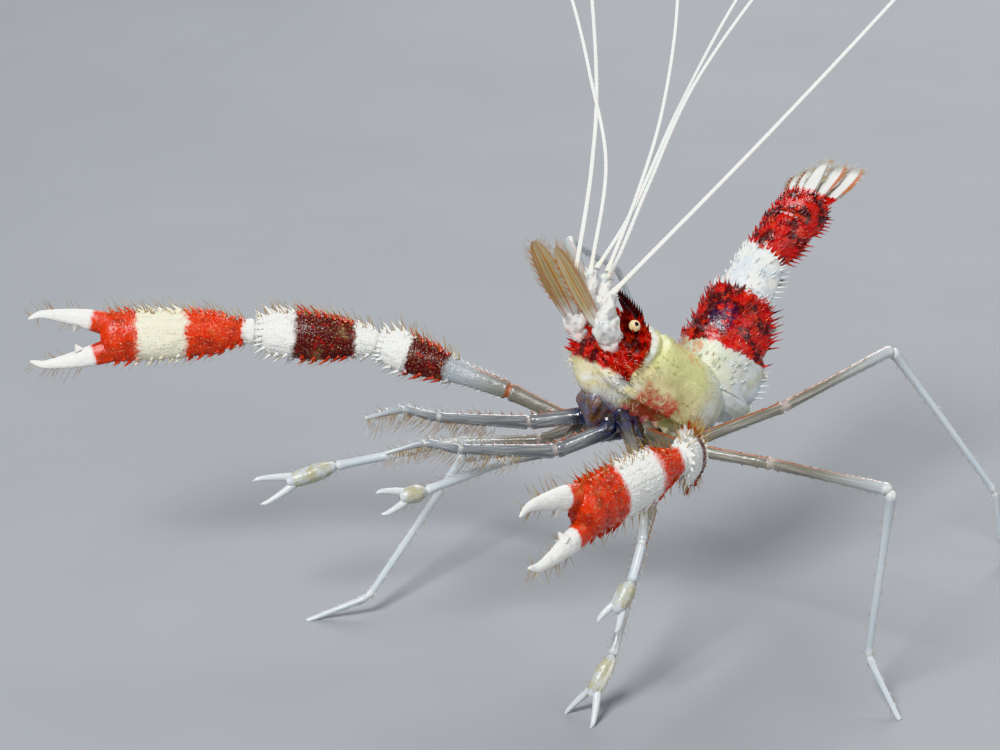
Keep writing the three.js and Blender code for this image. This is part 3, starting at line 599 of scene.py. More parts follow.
def abdomen_shell():
    """x is the place in whole rings from the carapace, and y the turn from the back over half a turn."""
    p = Paint("abdomen_shell")
    place = p.warped(p.warped(p.x, 1.6, 0.16), 0.4, 0.06)
    clear = p.tint(milky(p), GREEN, p.over(p.math("ABSOLUTE", p.y), 0.5, 0.1), 0.45)
    red = p.math("ADD", p.within(place, 1.84, 2.96, 0.03), p.within(place, 4.02, 6.4, 0.03))
    white = p.tint(WHITE, COOL_WHITE, p.over(p.noise(1.6), 0.42, 0.6), 0.8)
    colour = p.mix(p.over(place, 1.8, 1.88), clear, white)
    near_back = p.over(p.math("ABSOLUTE", p.y), 0.3, 0.1)
    orange = p.times(p.within(place, 1.62, 1.88, 0.07), near_back, p.over(p.noise(0.8), 0.42, 0.58), 0.6)
    colour = p.mix(orange, colour, ORANGE)
    colour = p.mix(red, colour, mottled_red(p))
    violet = p.times(blob(p, (2.35, 0.18, 0), (0.26, 0.13, 9), 0.6), red, p.over(p.noise(0.7), 0.4, 0.52))
    colour = p.tint(colour, VIOLET, violet, 0.85)
    # The pale flecks in the violet spot are painted highlights, where light glints on the glossy shell
    flecks = p.times(blob(p, (2.2, 0.15, 0), (0.3, 0.1, 9), 0.6), red, p.over(p.noise(0.35), 0.62, 0.68))
    colour = p.tint(colour, COOL_WHITE, flecks, 0.8)
    return chitin(p, colour, roughness=0.24, coat=0.7, glow=0.14)


def fan_shell():
    """Tail blades: x is the part of the length, y the place across, and z 1 towards the outside."""
    p = Paint("tail_fan_shell")
    middle = p.over(p.math("ABSOLUTE", p.y), 0.95, 0.6)
    clear = p.over(p.warped(p.x, 1.2, 0.1), 0.72, 0.95)
    colour = p.mix(middle, CLEAR_GREY, WHITE)
    colour = p.tint(colour, COOL_WHITE, p.over(p.streaks(1.2, 7), 0.48, 0.66), 0.4)
    colour = p.tint(colour, CLEAR_GREY, clear, 0.7)
    ridge = p.over(p.warped(p.z, 1.5, 0.06), 0.72, 0.9)
    colour = p.tint(colour, ORANGE, ridge, p.over(p.x, 0.3, 0.5), 0.85)
    root = p.over(p.warped(p.warped(p.x, 0.9, 0.1), 0.3, 0.04), 0.3, 0.24)
    colour = p.mix(root, colour, mottled_red(p))
    normal = p.bump((p.noise(0.8), 0.05), (p.noise(0.15), 0.02))
    return p.finish(colour, normal, roughness=0.28, coat=0.5, glow=0.15, clear=0.12)


def scale_shell():
    """Feeler scales: clear brown with two orange ridges along them."""
    p = Paint("feeler_scale_shell")
    across = p.warped(p.y, 1.5, 0.08)
    ridges = p.math("ADD", p.within(across, 0.2, 0.32, 0.06), p.within(across, -0.62, -0.5, 0.06))
    colour = p.mix(p.over(p.streaks(1.2, 8), 0.45, 0.62), STRAW, MILKY)
    colour = p.tint(colour, GOLD, p.over(p.streaks(0.8, 5), 0.46, 0.6), 0.55)
    colour = p.mix(p.over(p.warped(p.x, 1.2, 0.1), 0.36, 0.14), colour, WHITE)
    colour = p.tint(colour, ORANGE, ridges, 0.8)
    colour = p.tint(colour, ORANGE, p.over(p.math("ABSOLUTE", p.y), 0.86, 0.98), 0.7)
    normal = p.bump((p.streaks(1.5, 16), 0.05), (p.noise(0.15), 0.02))
    return p.finish(colour, normal, roughness=0.22, coat=0.5, glow=0.1, clear=0.3)


def stalk_shell():
    """Feeler stalks: white, pink and clear at the root. x is the part of the length."""
    p = Paint("feeler_stalk_shell")
    colour = p.mix(p.over(p.warped(p.x, 0.8, 0.2), 0.1, 0.5), p.mix(p.noise(0.7), PINK, WHITE), WHITE)
    colour = p.tint(colour, COOL_WHITE, p.over(p.noise(0.7), 0.5, 0.66), 0.5)
    colour = p.tint(colour, STRAW, p.over(p.noise(1.1), 0.58, 0.7), 0.3)
    glassy = p.times(p.over(p.noise(1.4), 0.45, 0.62), 0.3)
    return chitin(p, colour, roughness=0.22, coat=0.6, glow=0.25, clear=glassy)


def eye_shell():
    """A cream eye with a small ragged pupil. x is 1 where the eye looks and falls to -1 behind it."""
    p = Paint("eye_shell")
    ball = p.over(p.warped(p.x, 0.4, 0.08), -0.15, 0.1)
    warm = p.tint(CREAM, ORANGE, p.over(p.noise(0.6), 0.5, 0.65), 0.5)
    pupil = p.over(p.warped(p.x, 0.2, 0.06), 0.94, 0.96)
    colour = p.mix(pupil, p.mix(ball, MAROON, warm), DARK)
    facets = p.node("TexVoronoi", {"Vector": p.place, "Scale": 1 / (0.07 * MM)}).outputs["Distance"]
    return p.finish(colour, p.bump((facets, 0.012)), roughness=0.14, coat=0.9, glow=0.1)


def bristle(name, root, tip):
    """Hairs, with z running from root to tip."""
    p = Paint(name)
    colour = p.mix(p.over(p.noise(1.2), 0.4, 0.7), root, tip)
    return p.finish(colour, p.bump((p.noise(0.1), 0.01)), roughness=0.4, coat=0.2, glow=0.1)


# Limbs

class Limb:
    """A jointed limb: its centreline, its section and what grows on it."""

    def __init__(self, start, segments, radii, face, flatness=1.0, corner=1.1, to_floor=None, swell=0.14,
                 first_mark=0):
        self.path, self.joints = rounded_path(joints_of(start, segments, to_floor), corner)
        self.first_mark = first_mark
        self.face = face
        self.flatness = flatness
        self.swell = swell
        self.marks = [[self.distance(joint), radius] for joint, radius in radii]

    def distance(self, joint):
        return np.interp(joint, range(len(self.joints)), self.joints)

    def joint(self, distance):
        """How many joints along, counted from first_mark."""
        return np.interp(distance, self.joints, range(len(self.joints))) + self.first_mark

    def halves(self, distance, angle):
        """Half sizes of the section, swollen before each joint and pinched at it."""
        radius = smooth(self.marks, distance)
        for joint in self.joints[1:-1]:
            radius = radius * (
                1 + self.swell * hump(distance, joint - 0.5, 0.35)
                - 0.36 * hump(distance, joint, 0.15)
                + 0.5 * self.swell * hump(distance, joint + 0.5, 0.35)
            )
        return radius * self.flatness, radius * (1 + 0.05 * np.cos(4 * angle))

    def mark(self, distance, angle):
        return self.joint(distance), np.sin(angle), 0.0

    def surface(self, distance, angle):
        """Points on the skin, the way out of it and the way along it, for arrays of places."""
        distance, angle = np.broadcast_arrays(np.asarray(distance, float), angle)
        tangent = self.path.tangent(distance)
        first, second = section_axes(tangent, self.face)
        a, b = (half[..., None] for half in self.halves(distance, angle))
        cos, sin = np.cos(angle)[..., None], np.sin(angle)[..., None]
        at = self.path.point(distance) + first * cos * a + second * sin * b
        return at, unit(first * cos / a + second * sin / b), tangent

    def tube(self, piece, start, end, spacing=0.22, sides=20):
        count = max(8, int((end - start) / spacing))
        sweep(piece, self.path, np.linspace(start, end, count), sides, self.face, self.halves, self.mark)

    def row(self, start, end, spacing, angle, jitter=0.0):
        """Places along one edge, jittered along it and around it."""
        count = max(1, int((end - start) / spacing))
        distance = start + (np.arange(count) + 0.5) * (end - start) / count
        distance = distance + random.uniform(-0.2, 0.2, count) * spacing
        return distance, math.radians(angle) + random.normal(0, 1, count) * math.radians(jitter)

    def spines(self, piece, start, end, spacing, angle, length, radius, lean=0.55, jitter=4, tint=1.0):
        distance, angles = self.row(start, end, spacing, angle, jitter)
        at, out, along = self.surface(distance, angles)
        lengths = length * random.uniform(0.7, 1.15, len(distance))
        marks = rows_of(self.joint(distance), np.sin(angles), tint)
        bend = length * (0.1 * along - 0.12 * out)
        spikes(piece, at, out + lean * along, lengths, radius, marks, bend=bend)

    def hairs(self, coat, start, end, spacing, angle, length, radius=0.055, lean=0.3, jitter=12):
        distance, angles = self.row(start, end, spacing, angle, jitter)
        at, out, along = self.surface(distance, angles)
        count = len(distance)
        lengths = length * random.uniform(0.55, 1.1, count)
        aims = out + lean * along + random.normal(0, 0.12, (count, 3))
        bend = (0.25 * along + random.normal(0, 0.06, (count, 3))) * lengths[:, None]
        marks = rows_of(self.joint(distance), np.sin(angles), 1)
        unwrap = rows_of(distance / self.path.length * 0.99, (angles / (2 * math.pi)) % 0.99)
        hairs(coat, at, aims, lengths, radius, marks, unwrap, bend)


def add_hip(piece, limb, radius, root_up=THORAX_FLOOR_UP - 0.3):
    """The two short segments that carry a limb, from the floor of the thorax to its first joint."""
    start = limb.path.point(np.zeros(1))[0]
    onward = limb.path.tangent(np.zeros(1))[0]
    offset = start - BODY_CENTRE
    ahead, side = offset @ FORWARD, np.sign(offset @ LEFTWARD)
    root = on_body(ahead, side * 1.1, root_up)
    points = quadratic(root, start - onward * 0.5, start + onward * 0.9, 30)
    end_radius = limb.halves(np.array([0.9]), 0.0)[1][0]
    outline = [[0, radius], [0.3, radius * 1.05], [0.44, radius * 0.8], [0.6, radius * 0.98],
               [0.78, radius * 0.92], [0.86, end_radius * 0.85], [1, end_radius * 1.03]]
    first_mark = limb.joint(0.0)

    def mark(part, angle):
        return first_mark + 0.1 * part, 0, 0

    curved_tube(piece, points, outline, 20, limb.face, 0.9, mark)


def curved_tube(piece, points, radius_marks, sides, face, flatness, mark_at):
    """A tapering tube through points. radius_marks and mark_at run over 0 to 1 of its length."""
    path = Path(points)
    count = max(10, int(path.length / 0.2))

    def halves(distance, angle):
        radius = smooth(radius_marks, distance / path.length)
        return radius * flatness, radius

    def mark(distance, angle):
        return mark_at(distance / path.length, angle)

    sweep(piece, path, np.linspace(0, path.length, count), sides, face, halves, mark)
    return path


CLAW_FACE = direction(90, -22)
HAIR_STRAW = bristle("straw_bristle", GOLD, STRAW)
HAIR_GREY = bristle("grey_bristle", CLEAR_BROWN, COOL_WHITE)
HAIR_PALE = bristle("pale_bristle", CREAM, WHITE)


def finger_points(base, along, across, length, spread, bow, hook=0.0):
    """A finger that bows outwards, with its last part hooked back in."""
    tip = base + along * length + across * spread
    middle = base + 0.55 * (tip - base) + across * bow
    points = quadratic(base, middle, tip, 40)
    t = np.linspace(0, 1, 40)
    return points - np.outer(step(t, 0.8, 1.05) * hook, across)


def add_finger(piece, coat, limb, side, start, root):
    """One finger of a great claw, its teeth along the inner edge and the hairs at its tip. It starts
    a little behind the palm's end, with root as its share of the palm's depth."""
    deep = CLAW_PALM_HALF_DEPTH
    marks_from = -0.05
    end = limb.path.length
    along = limb.path.tangent(np.array([end]))[0]
    across = section_axes(along[None], limb.face)[1][0]
    base = limb.path.point(np.array([end]))[0] + along * start + across * side * deep * 0.5
    length = CLAW_FINGER_LENGTH - start
    points = finger_points(base, along, across, length, side * CLAW_FINGER_SPREAD, side * 0.7, side * 0.55)
    radii = [[0, deep * root], [0.25, deep * root * 0.88], [0.6, deep * root * 0.56], [0.85, 0.42],
             [0.96, 0.24], [1, 0.1]]

    def mark(part, angle):
        return marks_from + (1 - marks_from) * part, np.sin(angle), 0.0

    path = curved_tube(piece, points, radii, 18, limb.face, CLAW_FLATNESS, mark)

    def edge_places(part, edge):
        """Points a little inside one edge, the way out over it and the way along it."""
        distance = part * path.length
        tangent = path.tangent(distance)
        out = edge * section_axes(tangent, limb.face)[1]
        return path.point(distance) + out * smooth(radii, part)[:, None] * 0.9, out, tangent

    # A saw of small teeth down the inner edge, and one big tooth, which comes last
    teeth = np.concatenate([np.arange(0.3, 0.9, 0.05), [0.4]])
    sizes = np.full(len(teeth), 0.14)
    sizes[-1] = 0.85
    roots, inward, tangent = edge_places(teeth, -side)
    tooth_marks = rows_of(marks_from + (1 - marks_from) * teeth, 0, 0)
    spikes(piece, roots, inward + 0.25 * tangent, sizes, 0.12 + 0.36 * (sizes > 0.5), tooth_marks)
    for edge, count, size in ((side, 14, 1.7), (-side, 8, 1.2)):
        part = random.uniform(0.35, 0.98, count)
        roots, out, tangent = edge_places(part, edge)
        out = out + random.normal(0, 0.35, (count, 3))
        lengths = size * random.uniform(0.6, 1.1, count)
        unwrap = rows_of(0.9 * part, 0.7 + 0.1 * edge)
        hairs(coat, roots, out + 0.9 * tangent, lengths, 0.04, (1, 0, 1), unwrap, 0.2 * out)


def add_claw(name, start, segments, face, shell, hair, wrist_spines):
    """A great claw. Its marks count segments back from the hinge of its finger."""
    deep = CLAW_PALM_HALF_DEPTH
    hinge = len(segments)
    shares = [[0, 0.34], [0.5, 0.3], [1, 0.28], [hinge - 2.7, 0.42], [hinge - 2.15, 0.78], [hinge - 2, 0.5],
              [hinge - 1.85, 0.6], [hinge - 1.45, 0.93], [hinge - 1.15, 0.86], [hinge - 1, 0.5],
              [hinge - 0.92, 0.48], [hinge - 0.72, 0.82], [hinge - 0.3, 0.97], [hinge - 0.1, 0.97],
              [hinge - 0.04, 0.82], [hinge, 0.4]]
    radii = [[joint, share * deep] for joint, share in shares]
    limb = Limb(start, segments, radii, face, CLAW_FLATNESS, 0.8, swell=0.08, first_mark=-hinge)
    coat = Piece()
    parts = [("upper_arm", 0, hinge - 2, hinge - 2.6), ("wrist", hinge - 2, hinge - 1, hinge - 1.97),
             ("palm", hinge - 1, hinge, hinge - 0.95)]
    for word, first_joint, last_joint, spiny_from in parts:
        piece = Piece()
        begin, end = limb.distance(first_joint), limb.distance(last_joint)
        spiny = limb.distance(spiny_from)
        limb.tube(piece, begin, end, sides=28)
        longer = 1.0 if word == "palm" else wrist_spines
        for angle, spacing, size in ((90, 0.86, 1.0), (-90, 1.15, 0.9), (74, 1.0, 0.6), (106, 1.0, 0.6),
                                     (-72, 1.4, 0.5), (-108, 1.4, 0.5)):
            limb.spines(piece, spiny, end - 0.25, spacing, angle, size * longer, 0.2, lean=0.9, jitter=2)
        for angle in range(54, -55, -12):
            for around in (angle, 180 - angle):
                limb.spines(piece, spiny, end - 0.3, 0.42, around, 0.1, 0.085, 0.3, jitter=6, tint=0.15)
        if word == "upper_arm":
            add_hip(piece, limb, 1.25)
            clear_from = limb.distance(hinge - 2.97)
            for angle in (90, -90):
                limb.spines(piece, clear_from, spiny, 0.7, angle, 0.6, 0.13, lean=1.1, jitter=2)
        if word != "palm":
            rim = np.radians(np.arange(0, 360, 24))
            at, out, along = limb.surface(np.full(len(rim), end - 0.55), rim)
            marks = rows_of(limb.joint(end - 0.55), np.sin(rim), 1)
            spikes(piece, at, 0.5 * out + along, 0.8, 0.18, marks)
        else:
            add_finger(piece, coat, limb, -1, -1.4, 0.5)
        piece.make(f"{name}_{word}_shell", shell, "banded_shell", [f"{name}_{word}"])
        limb.hairs(coat, spiny, end, 0.4, 90, hair, lean=0.25)
        limb.hairs(coat, spiny, end, 0.45, 104, hair * 0.85, lean=0.25)
        limb.hairs(coat, spiny, end, 0.6, -90, hair * 0.7, lean=0.4)
    finger = Piece()
    add_finger(finger, coat, limb, 1, -1.2, 0.49)
    finger.make(f"{name}_finger_shell", shell, "banded_shell", [f"{name}_finger"])
    coat.make(f"{name}_bristles", HAIR_STRAW, "banded_shell")


WRIST_BANDS = [[-2.52, CLEAR_GREY], [-2.24, MAROON], [-1.82, WHITE], [-1.32, MAROON]]
RIGHT_PALM_BANDS = [[-0.913, WHITE], [-0.55, ORANGE_RED], [-0.23, PALE_CREAM]]
LEFT_PALM_BANDS = [[-0.95, WHITE], [-0.71, ORANGE_RED], [-0.36, WHITE]]
FINGER_BANDS = [[0.2, ORANGE_RED], [1, WHITE]]
right_claw_shell = claw_shell("claw_right_shell", [*WRIST_BANDS, *RIGHT_PALM_BANDS, *FINGER_BANDS])
left_claw_shell = claw_shell("claw_left_shell", [*WRIST_BANDS, *LEFT_PALM_BANDS, *FINGER_BANDS])
add_claw("claw_right", attach(-0.3, RIGHT),
         [[5.2, 145, -12], [8.3, 158, 18], [16.1, 166, 16], [13.9, -179, 6], [CLAW_PALM_LENGTH, -171, 1]],
         CLAW_FACE, right_claw_shell, hair=1.9, wrist_spines=1.3)
add_claw("claw_left", attach(-0.3, LEFT),
         [[9.8, -70, 15], [15.4, -88, 20], [13.9, -101, 22], [CLAW_PALM_LENGTH, -127, 2]],
         direction(141, -13), left_claw_shell, hair=2.1, wrist_spines=1.6)


LEG_SHELL = clear_shell("clear_leg_shell", CLEAR_GREY, ORANGE)
PINCER_SHELL = clear_shell("clear_pincer_shell", CLEAR_GREY, ORANGE, palm=0.75)


def add_walking_leg(name, start, segments):
    r = WALKING_LEG_RADIUS
    radii = [[0, r * 1.6], [0.35, r * 1.35], [1, r * 1.2], [1.5, r * 1.15], [1.85, r * 1.35], [2, r * 1.2],
             [2.3, r * 0.85], [3, r * 0.78], [3.5, r * 0.65], [4, SOLE_RADIUS * 0.75]]
    limb = Limb(start, segments, radii, direction(segments[0][1] + 90, 0), to_floor=SOLE_CUT)
    coat = Piece()
    for word, first_joint, last_joint in (("upper", 0, 2), ("lower", 2, 4)):
        piece = Piece()
        begin, end = limb.distance(first_joint), limb.distance(last_joint)
        limb.tube(piece, begin, end)
        if word == "upper":
            add_hip(piece, limb, 1.0)
        for angle in (90, -90):
            limb.spines(piece, begin + 1.5, end - 1, 2.1, angle, 0.26, 0.08, lean=1.4)
            limb.hairs(coat, begin + 1, end - 1, 1.5, angle, 0.7, radius=0.04, lean=1.0)
        piece.make(f"{name}_{word}_shell", LEG_SHELL, "clear_shell", [f"{name}_{word}"])
    coat.make(f"{name}_bristles", HAIR_GREY, "clear_shell")


add_walking_leg("walking_leg_4_left", attach(-2.4, LEFT),
                [[13.3, -25, 0], [16.4, -47, 8], [20, 140, -85], [7.6, -54, None]])
add_walking_leg("walking_leg_5_left", attach(-4.2, LEFT),
                [[14.1, 20, 13], [16.9, 37, 10], [22.4, 3, -54], [10.2, 25, None]])
add_walking_leg("walking_leg_4_right", attach(-2.4, RIGHT),
                [[14.2, 152, -21], [10.8, 131, -22], [21.6, -125, -30], [7.6, -171, None]])
add_walking_leg("walking_leg_5_right", attach(-4.2, RIGHT),
                [[14.4, 104, 35], [14.5, 110, 29], [20, 68, -28], [8.7, 38, -64]])


def add_pincer_leg(name, start, segments, face, finger, spread, on_floor=False):
    r = PINCER_LEG_RADIUS
    wrist = len(segments) - 1
    if on_floor:
        height = joints_of(start, segments)[wrist][2]
        reach = segments[wrist][0] + finger
        segments[wrist][2] = -math.degrees(math.asin((height - SOLE_CUT) / reach))
    radii = [[0, r * 1.6], [0.4, r * 1.35], [1, r * 1.2], [wrist - 0.2, r], [wrist, r * 1.1],
             [wrist + 0.35, r * 2], [wrist + 0.8, r * 1.85], [wrist + 1, r * 1.2]]
    limb = Limb(start, segments, radii, face, corner=0.9)
    coat = Piece()
    arm = Piece()
    wrist_at, end = limb.distance(wrist), limb.path.length
    limb.tube(arm, 0, wrist_at)
    add_hip(arm, limb, 0.95)
    arm.make(f"{name}_arm_shell", LEG_SHELL, "clear_shell", [f"{name}_arm"])
    pincer = Piece()
    limb.tube(pincer, wrist_at, end)
    along = limb.path.tangent(np.array([end]))[0]
    across = section_axes(along[None], face)[1][0]

    def finger_mark(part, angle):
        return wrist + 0.97, np.sin(angle), 0

    for side in (1, -1):
        base = limb.path.point(np.array([end]))[0] - along + across * side * r * 0.7
        points = finger_points(base, along, across, finger + 1, side * spread, side * 0.25, side * 0.2)
        outline = [[0, r], [0.5, r * 0.8], [0.9, 0.24], [1, 0.09]]
        curved_tube(pincer, points, outline, 12, face, 0.9, finger_mark)
    pincer.make(f"{name}_pincer_shell", PINCER_SHELL, "clear_shell", [f"{name}_pincer"])
    for angle in (90, -90):
        limb.hairs(coat, 2, end, 0.9, angle, 0.9, radius=0.04, lean=0.8)
    coat.make(f"{name}_bristles", HAIR_GREY, "clear_shell")


add_pincer_leg("pincer_leg_1_left", attach(3.4, LEFT),
               [[9.6, -76, -28], [6, -97, -42], [4.4, -114, -48], [3.6, -138, -49]], CLAW_FACE, 1.9, 0.85)
add_pincer_leg("pincer_leg_2_left", attach(1.7, LEFT),
               [[9.3, -75, -44], [16.7, -115, -51], [4.9, -138, -48]],
               direction(0, 90), 3.1, 1.8, on_floor=True)
add_pincer_leg("pincer_leg_1_right", attach(3.4, RIGHT),
               [[5.6, -167, -53], [7, -157, -2], [9.3, -157, -12], [3, -159, -7]], CLAW_FACE, 2.5, 1)
add_pincer_leg("pincer_leg_2_right", attach(1.7, RIGHT),
               [[8.3, 156, -30], [9.6, 176, -3], [13.8, -172, -9], [5.8, -165, -14]], CLAW_FACE, 3.6, 1.2)


def add_mouth_limb(name, start, segments):
    r = PINCER_LEG_RADIUS
    radii = [[0, r * 1.9], [1, r * 1.6], [1.6, r * 1.3], [2, r * 1.1], [3, r * 0.9], [4, r * 0.5]]
    limb = Limb(start, segments, radii, direction(-90, 20))
    piece, coat = Piece(), Piece()
    limb.tube(piece, 0, limb.path.length)
    add_hip(piece, limb, 1.05, THORAX_FLOOR_UP - 2)
    limb.spines(piece, 2, limb.path.length - 1, 1.1, -90, 0.45, 0.12)
    piece.make(f"{name}_shell", MOUTH_SHELL, "clear_shell", [name])
    comb, tip = limb.distance(1.35), limb.path.length - 0.2
    limb.hairs(coat, comb, tip, 0.17, 90, 2.3, lean=0.35, jitter=14)
    limb.hairs(coat, comb, tip, 0.3, 64, 1.7, lean=0.35, jitter=14)
    limb.hairs(coat, comb, tip, 0.8, -90, 1.0, lean=0.6)
    coat.make(f"{name}_bristles", HAIR_GREY, "clear_shell")


MOUTH_SHELL = clear_shell("mouth_limb_shell", paint("858b90"), ORANGE, clear=0.45, whitens=(1.0, 5.0))
add_mouth_limb("mouth_limb_right", on_body(4.6, -2, -6.9),
               [[6.4, 169, -12], [10.5, -168, 8], [3.8, -173, 19], [4.4, -164, -9]])
add_mouth_limb("mouth_limb_left", on_body(4.2, 2.3, -7.4),
               [[6.3, -168, -19], [10.5, -176, 3], [3.8, 178, 12], [4.4, -176, -16]])


# Head and carapace

def add_grid(piece, points, marks):
    """A closed skin from rings of points, with a cap over each end."""
    rings, sides, _ = points.shape
    ends = [0, -1]
    piece.add(
        np.concatenate([points.reshape(-1, 3), points[ends].mean(1)]),
        tube_faces(rings, sides),
        np.concatenate([marks.reshape(-1, 3), marks[ends].mean(1)]),
    )


# [ahead, half width, height above the axis, depth below it]
CARAPACE_SECTIONS = np.array([
    [-0.41, 0.84, 0.84, 0.76],
    [-0.33, 0.95, 0.94, 0.9],
    [-0.16, 1, 1, 1.02],
    [0.06, 1, 0.99, 1.08],
    [0.24, 0.93, 0.92, 1.14],
    [0.38, 0.84, 0.82, 1.1],
    [0.49, 0.72, 0.66, 0.92],
    [0.56, 0.52, 0.44, 0.6],
])


def carapace_place(ahead, turn):
    """A point of the carapace's skin in its own axes. turn is 0 on the back, positive to the left."""
    share = ahead / CARAPACE_LENGTH
    width, height, depth = (smooth(CARAPACE_SECTIONS[:, [0, column]], share) for column in (1, 2, 3))
    cos, sin = np.cos(turn), np.sin(turn)
    nose = np.sqrt(np.clip(1 - step(ahead, 9.6, 10.6) ** 2, 0.02, 1))
    tucked = 1 - 0.16 * step(np.abs(turn), math.radians(126), math.radians(131))
    side = CARAPACE_HALF_WIDTH * width * sin * tucked * nose
    up = CARAPACE_HALF_HEIGHT * np.where(cos > 0, height, depth * (0.5 + 0.5 * tucked)) * cos * nose
    keel = 0.45 * step(ahead, 1, 7) * hump(turn, 0, 0.16)
    groove_ahead = 2.6 + 2.4 * (1 - cos)
    groove = hump(ahead, groove_ahead, 0.45) * step(np.abs(turn), 2.3, 1.7)
    gill = 0.35 * hump(ahead, -2.5, 4) * hump(np.abs(turn), 1.5, 0.7)
    swell = 1 - 0.07 * groove + 0.05 * gill
    return rows_of(ahead, side * swell, up * swell + keel * nose)


def carapace_out(ahead, turn):
    """Points of the carapace and the way out of it, both in its own axes."""
    small = 0.02
    at = carapace_place(ahead, turn)
    along = carapace_place(ahead + small, turn) - at
    around = carapace_place(ahead, turn + small) - at
    return at, unit(np.cross(along, around))


def on_body_rows(places):
    return on_body(places[..., 0], places[..., 1], places[..., 2])


# The skin of the carapace ends in front here, and the beak's marks lie ahead of all the rest
CARAPACE_FRONT_END = 10.6
BEAK_MARK = (13.0, 0.0, 5.0)


def add_carapace():
    piece, coat = Piece(), Piece()
    ahead = np.linspace(CARAPACE_REAR * CARAPACE_LENGTH, CARAPACE_FRONT_END, 120)
    turn = np.linspace(-math.pi, math.pi, 112, endpoint=False)
    ahead, turn = np.meshgrid(ahead, turn, indexing="ij")
    places = carapace_place(ahead, turn)
    add_grid(piece, on_body_rows(places), places)

    def scatter(count, low, high, reach, lean=0.9):
        """Places over the shell from low to high and reach radians from the back, where something
        grows leaning forwards."""
        ahead = random.uniform(low, high, count)
        turn = random.uniform(reach[0], reach[1], count) * random.choice([-1, 1], count)
        at, out = carapace_out(ahead, turn)
        aims = body_direction(out[:, 0] + lean, out[:, 1], out[:, 2])
        return ahead, turn, at, aims, random.uniform(0.5, 1.1, count)

    for count, low, high, reach, size, radius, lean in (
        (190, 5.4, 10.3, (0, 2.0), 1.15, 0.2, 0.6),
        (150, 5.6, 10.3, (0.2, 2.2), 0.55, 0.13, 0.9),
        (16, 7, 10, (0.1, 0.6), 1.9, 0.26, 1.0),
        (34, 1, 5.2, (0, 1.5), 0.5, 0.12, 0.9),
        (20, -7.4, 1, (0, 1.2), 0.3, 0.08, 0.9),
        (70, -6, 7, (1.7, 2.2), 0.45, 0.09, 0.9),
    ):
        _, _, at, aims, share = scatter(count, low, high, reach, lean)
        spikes(piece, on_body_rows(at), aims, size * share, radius, at)
    for count, low, high, reach, size, radius, lean in (
        (330, 3, 9.8, (1.4, 2.5), 1.0, 0.035, 0.3),
        (160, -7.4, 3, (0.1, 2.2), 0.5, 0.03, 0.2),
    ):
        ahead, turn, at, aims, share = scatter(count, low, high, reach, lean)
        unwrap = rows_of((ahead + 8) / 19, 0.5 + turn / 6.4)
        bend = random.normal(0, 0.15, (count, 3))
        hairs(coat, on_body_rows(at), aims, size * share, radius, at, unwrap, bend)
    add_beak(piece)
    add_rim_spines(piece)
    add_thorax_floor(piece)
    add_mouthparts(piece)
    piece.make("carapace_skin", carapace_shell(), "carapace_shell", ["carapace"])
    coat.make("carapace_bristles", HAIR_PALE, "carapace_shell")


def add_beak(piece):
    """The beak between the eyes, with a row of teeth on its upper edge and one down each side."""
    root, tip = on_body(5.2, 0, 4.5), on_body(10.2, 0, 6.1)
    outline = [[0, 0.75], [0.5, 0.5], [0.85, 0.26], [1, 0.05]]
    points = quadratic(root, on_body(7.8, 0, 5.1), tip, 30)
    curved_tube(piece, points, outline, 14, LEFTWARD, 0.55, lambda part, angle: BEAK_MARK)
    count = 10
    teeth = np.linspace(0.02, 0.88, count)
    edge = smooth(outline, teeth)[:, None]
    for lift, sideways, size in ((0.9, 0, 1.3), (0.5, 0.4, 1.1), (0.5, -0.4, 1.1)):
        roots = root + np.outer(teeth, tip - root) + (DORSAL * lift + LEFTWARD * sideways) * edge
        aims = np.tile(body_direction(0.7, 1.4 * sideways, lift), (count, 1))
        spikes(piece, roots, aims, np.linspace(size, 0.6 * size, count), 0.17, BEAK_MARK)


def add_rim_spines(piece):
    """Stout spines round each eye socket and down the front edge of the cheek, and a row of them
    where the red of the head ends. Each is [ahead, turn from the back, length]."""
    front = np.array([
        [8.0, 0.3, 1.4], [8.5, 0.42, 1.8], [9.0, 0.52, 2.0], [9.3, 0.64, 1.9], [9.6, 0.76, 1.5],
        [9.8, 1.1, 1.2], [9.8, 1.3, 1.5], [9.8, 1.5, 1.3], [9.6, 1.7, 1.2], [9.4, 1.9, 1.0],
    ])
    back = np.array([
        [5.6, 0.15, 1.2], [5.9, 0.35, 1.5], [5.6, 0.55, 1.3], [6.0, 0.75, 1.0], [5.7, 0.95, 0.8],
    ])
    for side in (LEFT, RIGHT):
        at, out = carapace_out(front[:, 0], side * front[:, 1])
        aims = body_direction(1.0, out[:, 1] * 0.8, out[:, 2] * 0.8)
        spikes(piece, on_body_rows(at), aims, front[:, 2], 0.26, at)
        at, out = carapace_out(back[:, 0], side * back[:, 1])
        aims = body_direction(0.8, out[:, 1], out[:, 2])
        # Their marks lie a little ahead, inside the red
        spikes(piece, on_body_rows(at), aims, back[:, 2], 0.22, at + (1.0, 0.0, 0.0))


def add_thorax_floor(piece):
    """The narrow floor of the thorax between the legs."""
    rear = -6.6
    floor = straight(on_body(rear, 0, THORAX_FLOOR_UP), on_body(6, 0, THORAX_FLOOR_UP))
    outline = [[0, 0.5], [0.15 * floor.length, 0.9], [0.8 * floor.length, 1], [floor.length, 0.5]]

    def halves(distance, angle):
        share = smooth(outline, distance) * (1 + 0.05 * np.cos(distance * 2 * math.pi / 1.7))
        return 2.5 * share, 2.1 * share

    def mark(distance, angle):
        return distance + rear, 0, -5.0 + np.sin(angle)

    sweep(piece, floor, np.linspace(0, floor.length, 90), 24, -LEFTWARD, halves, mark)


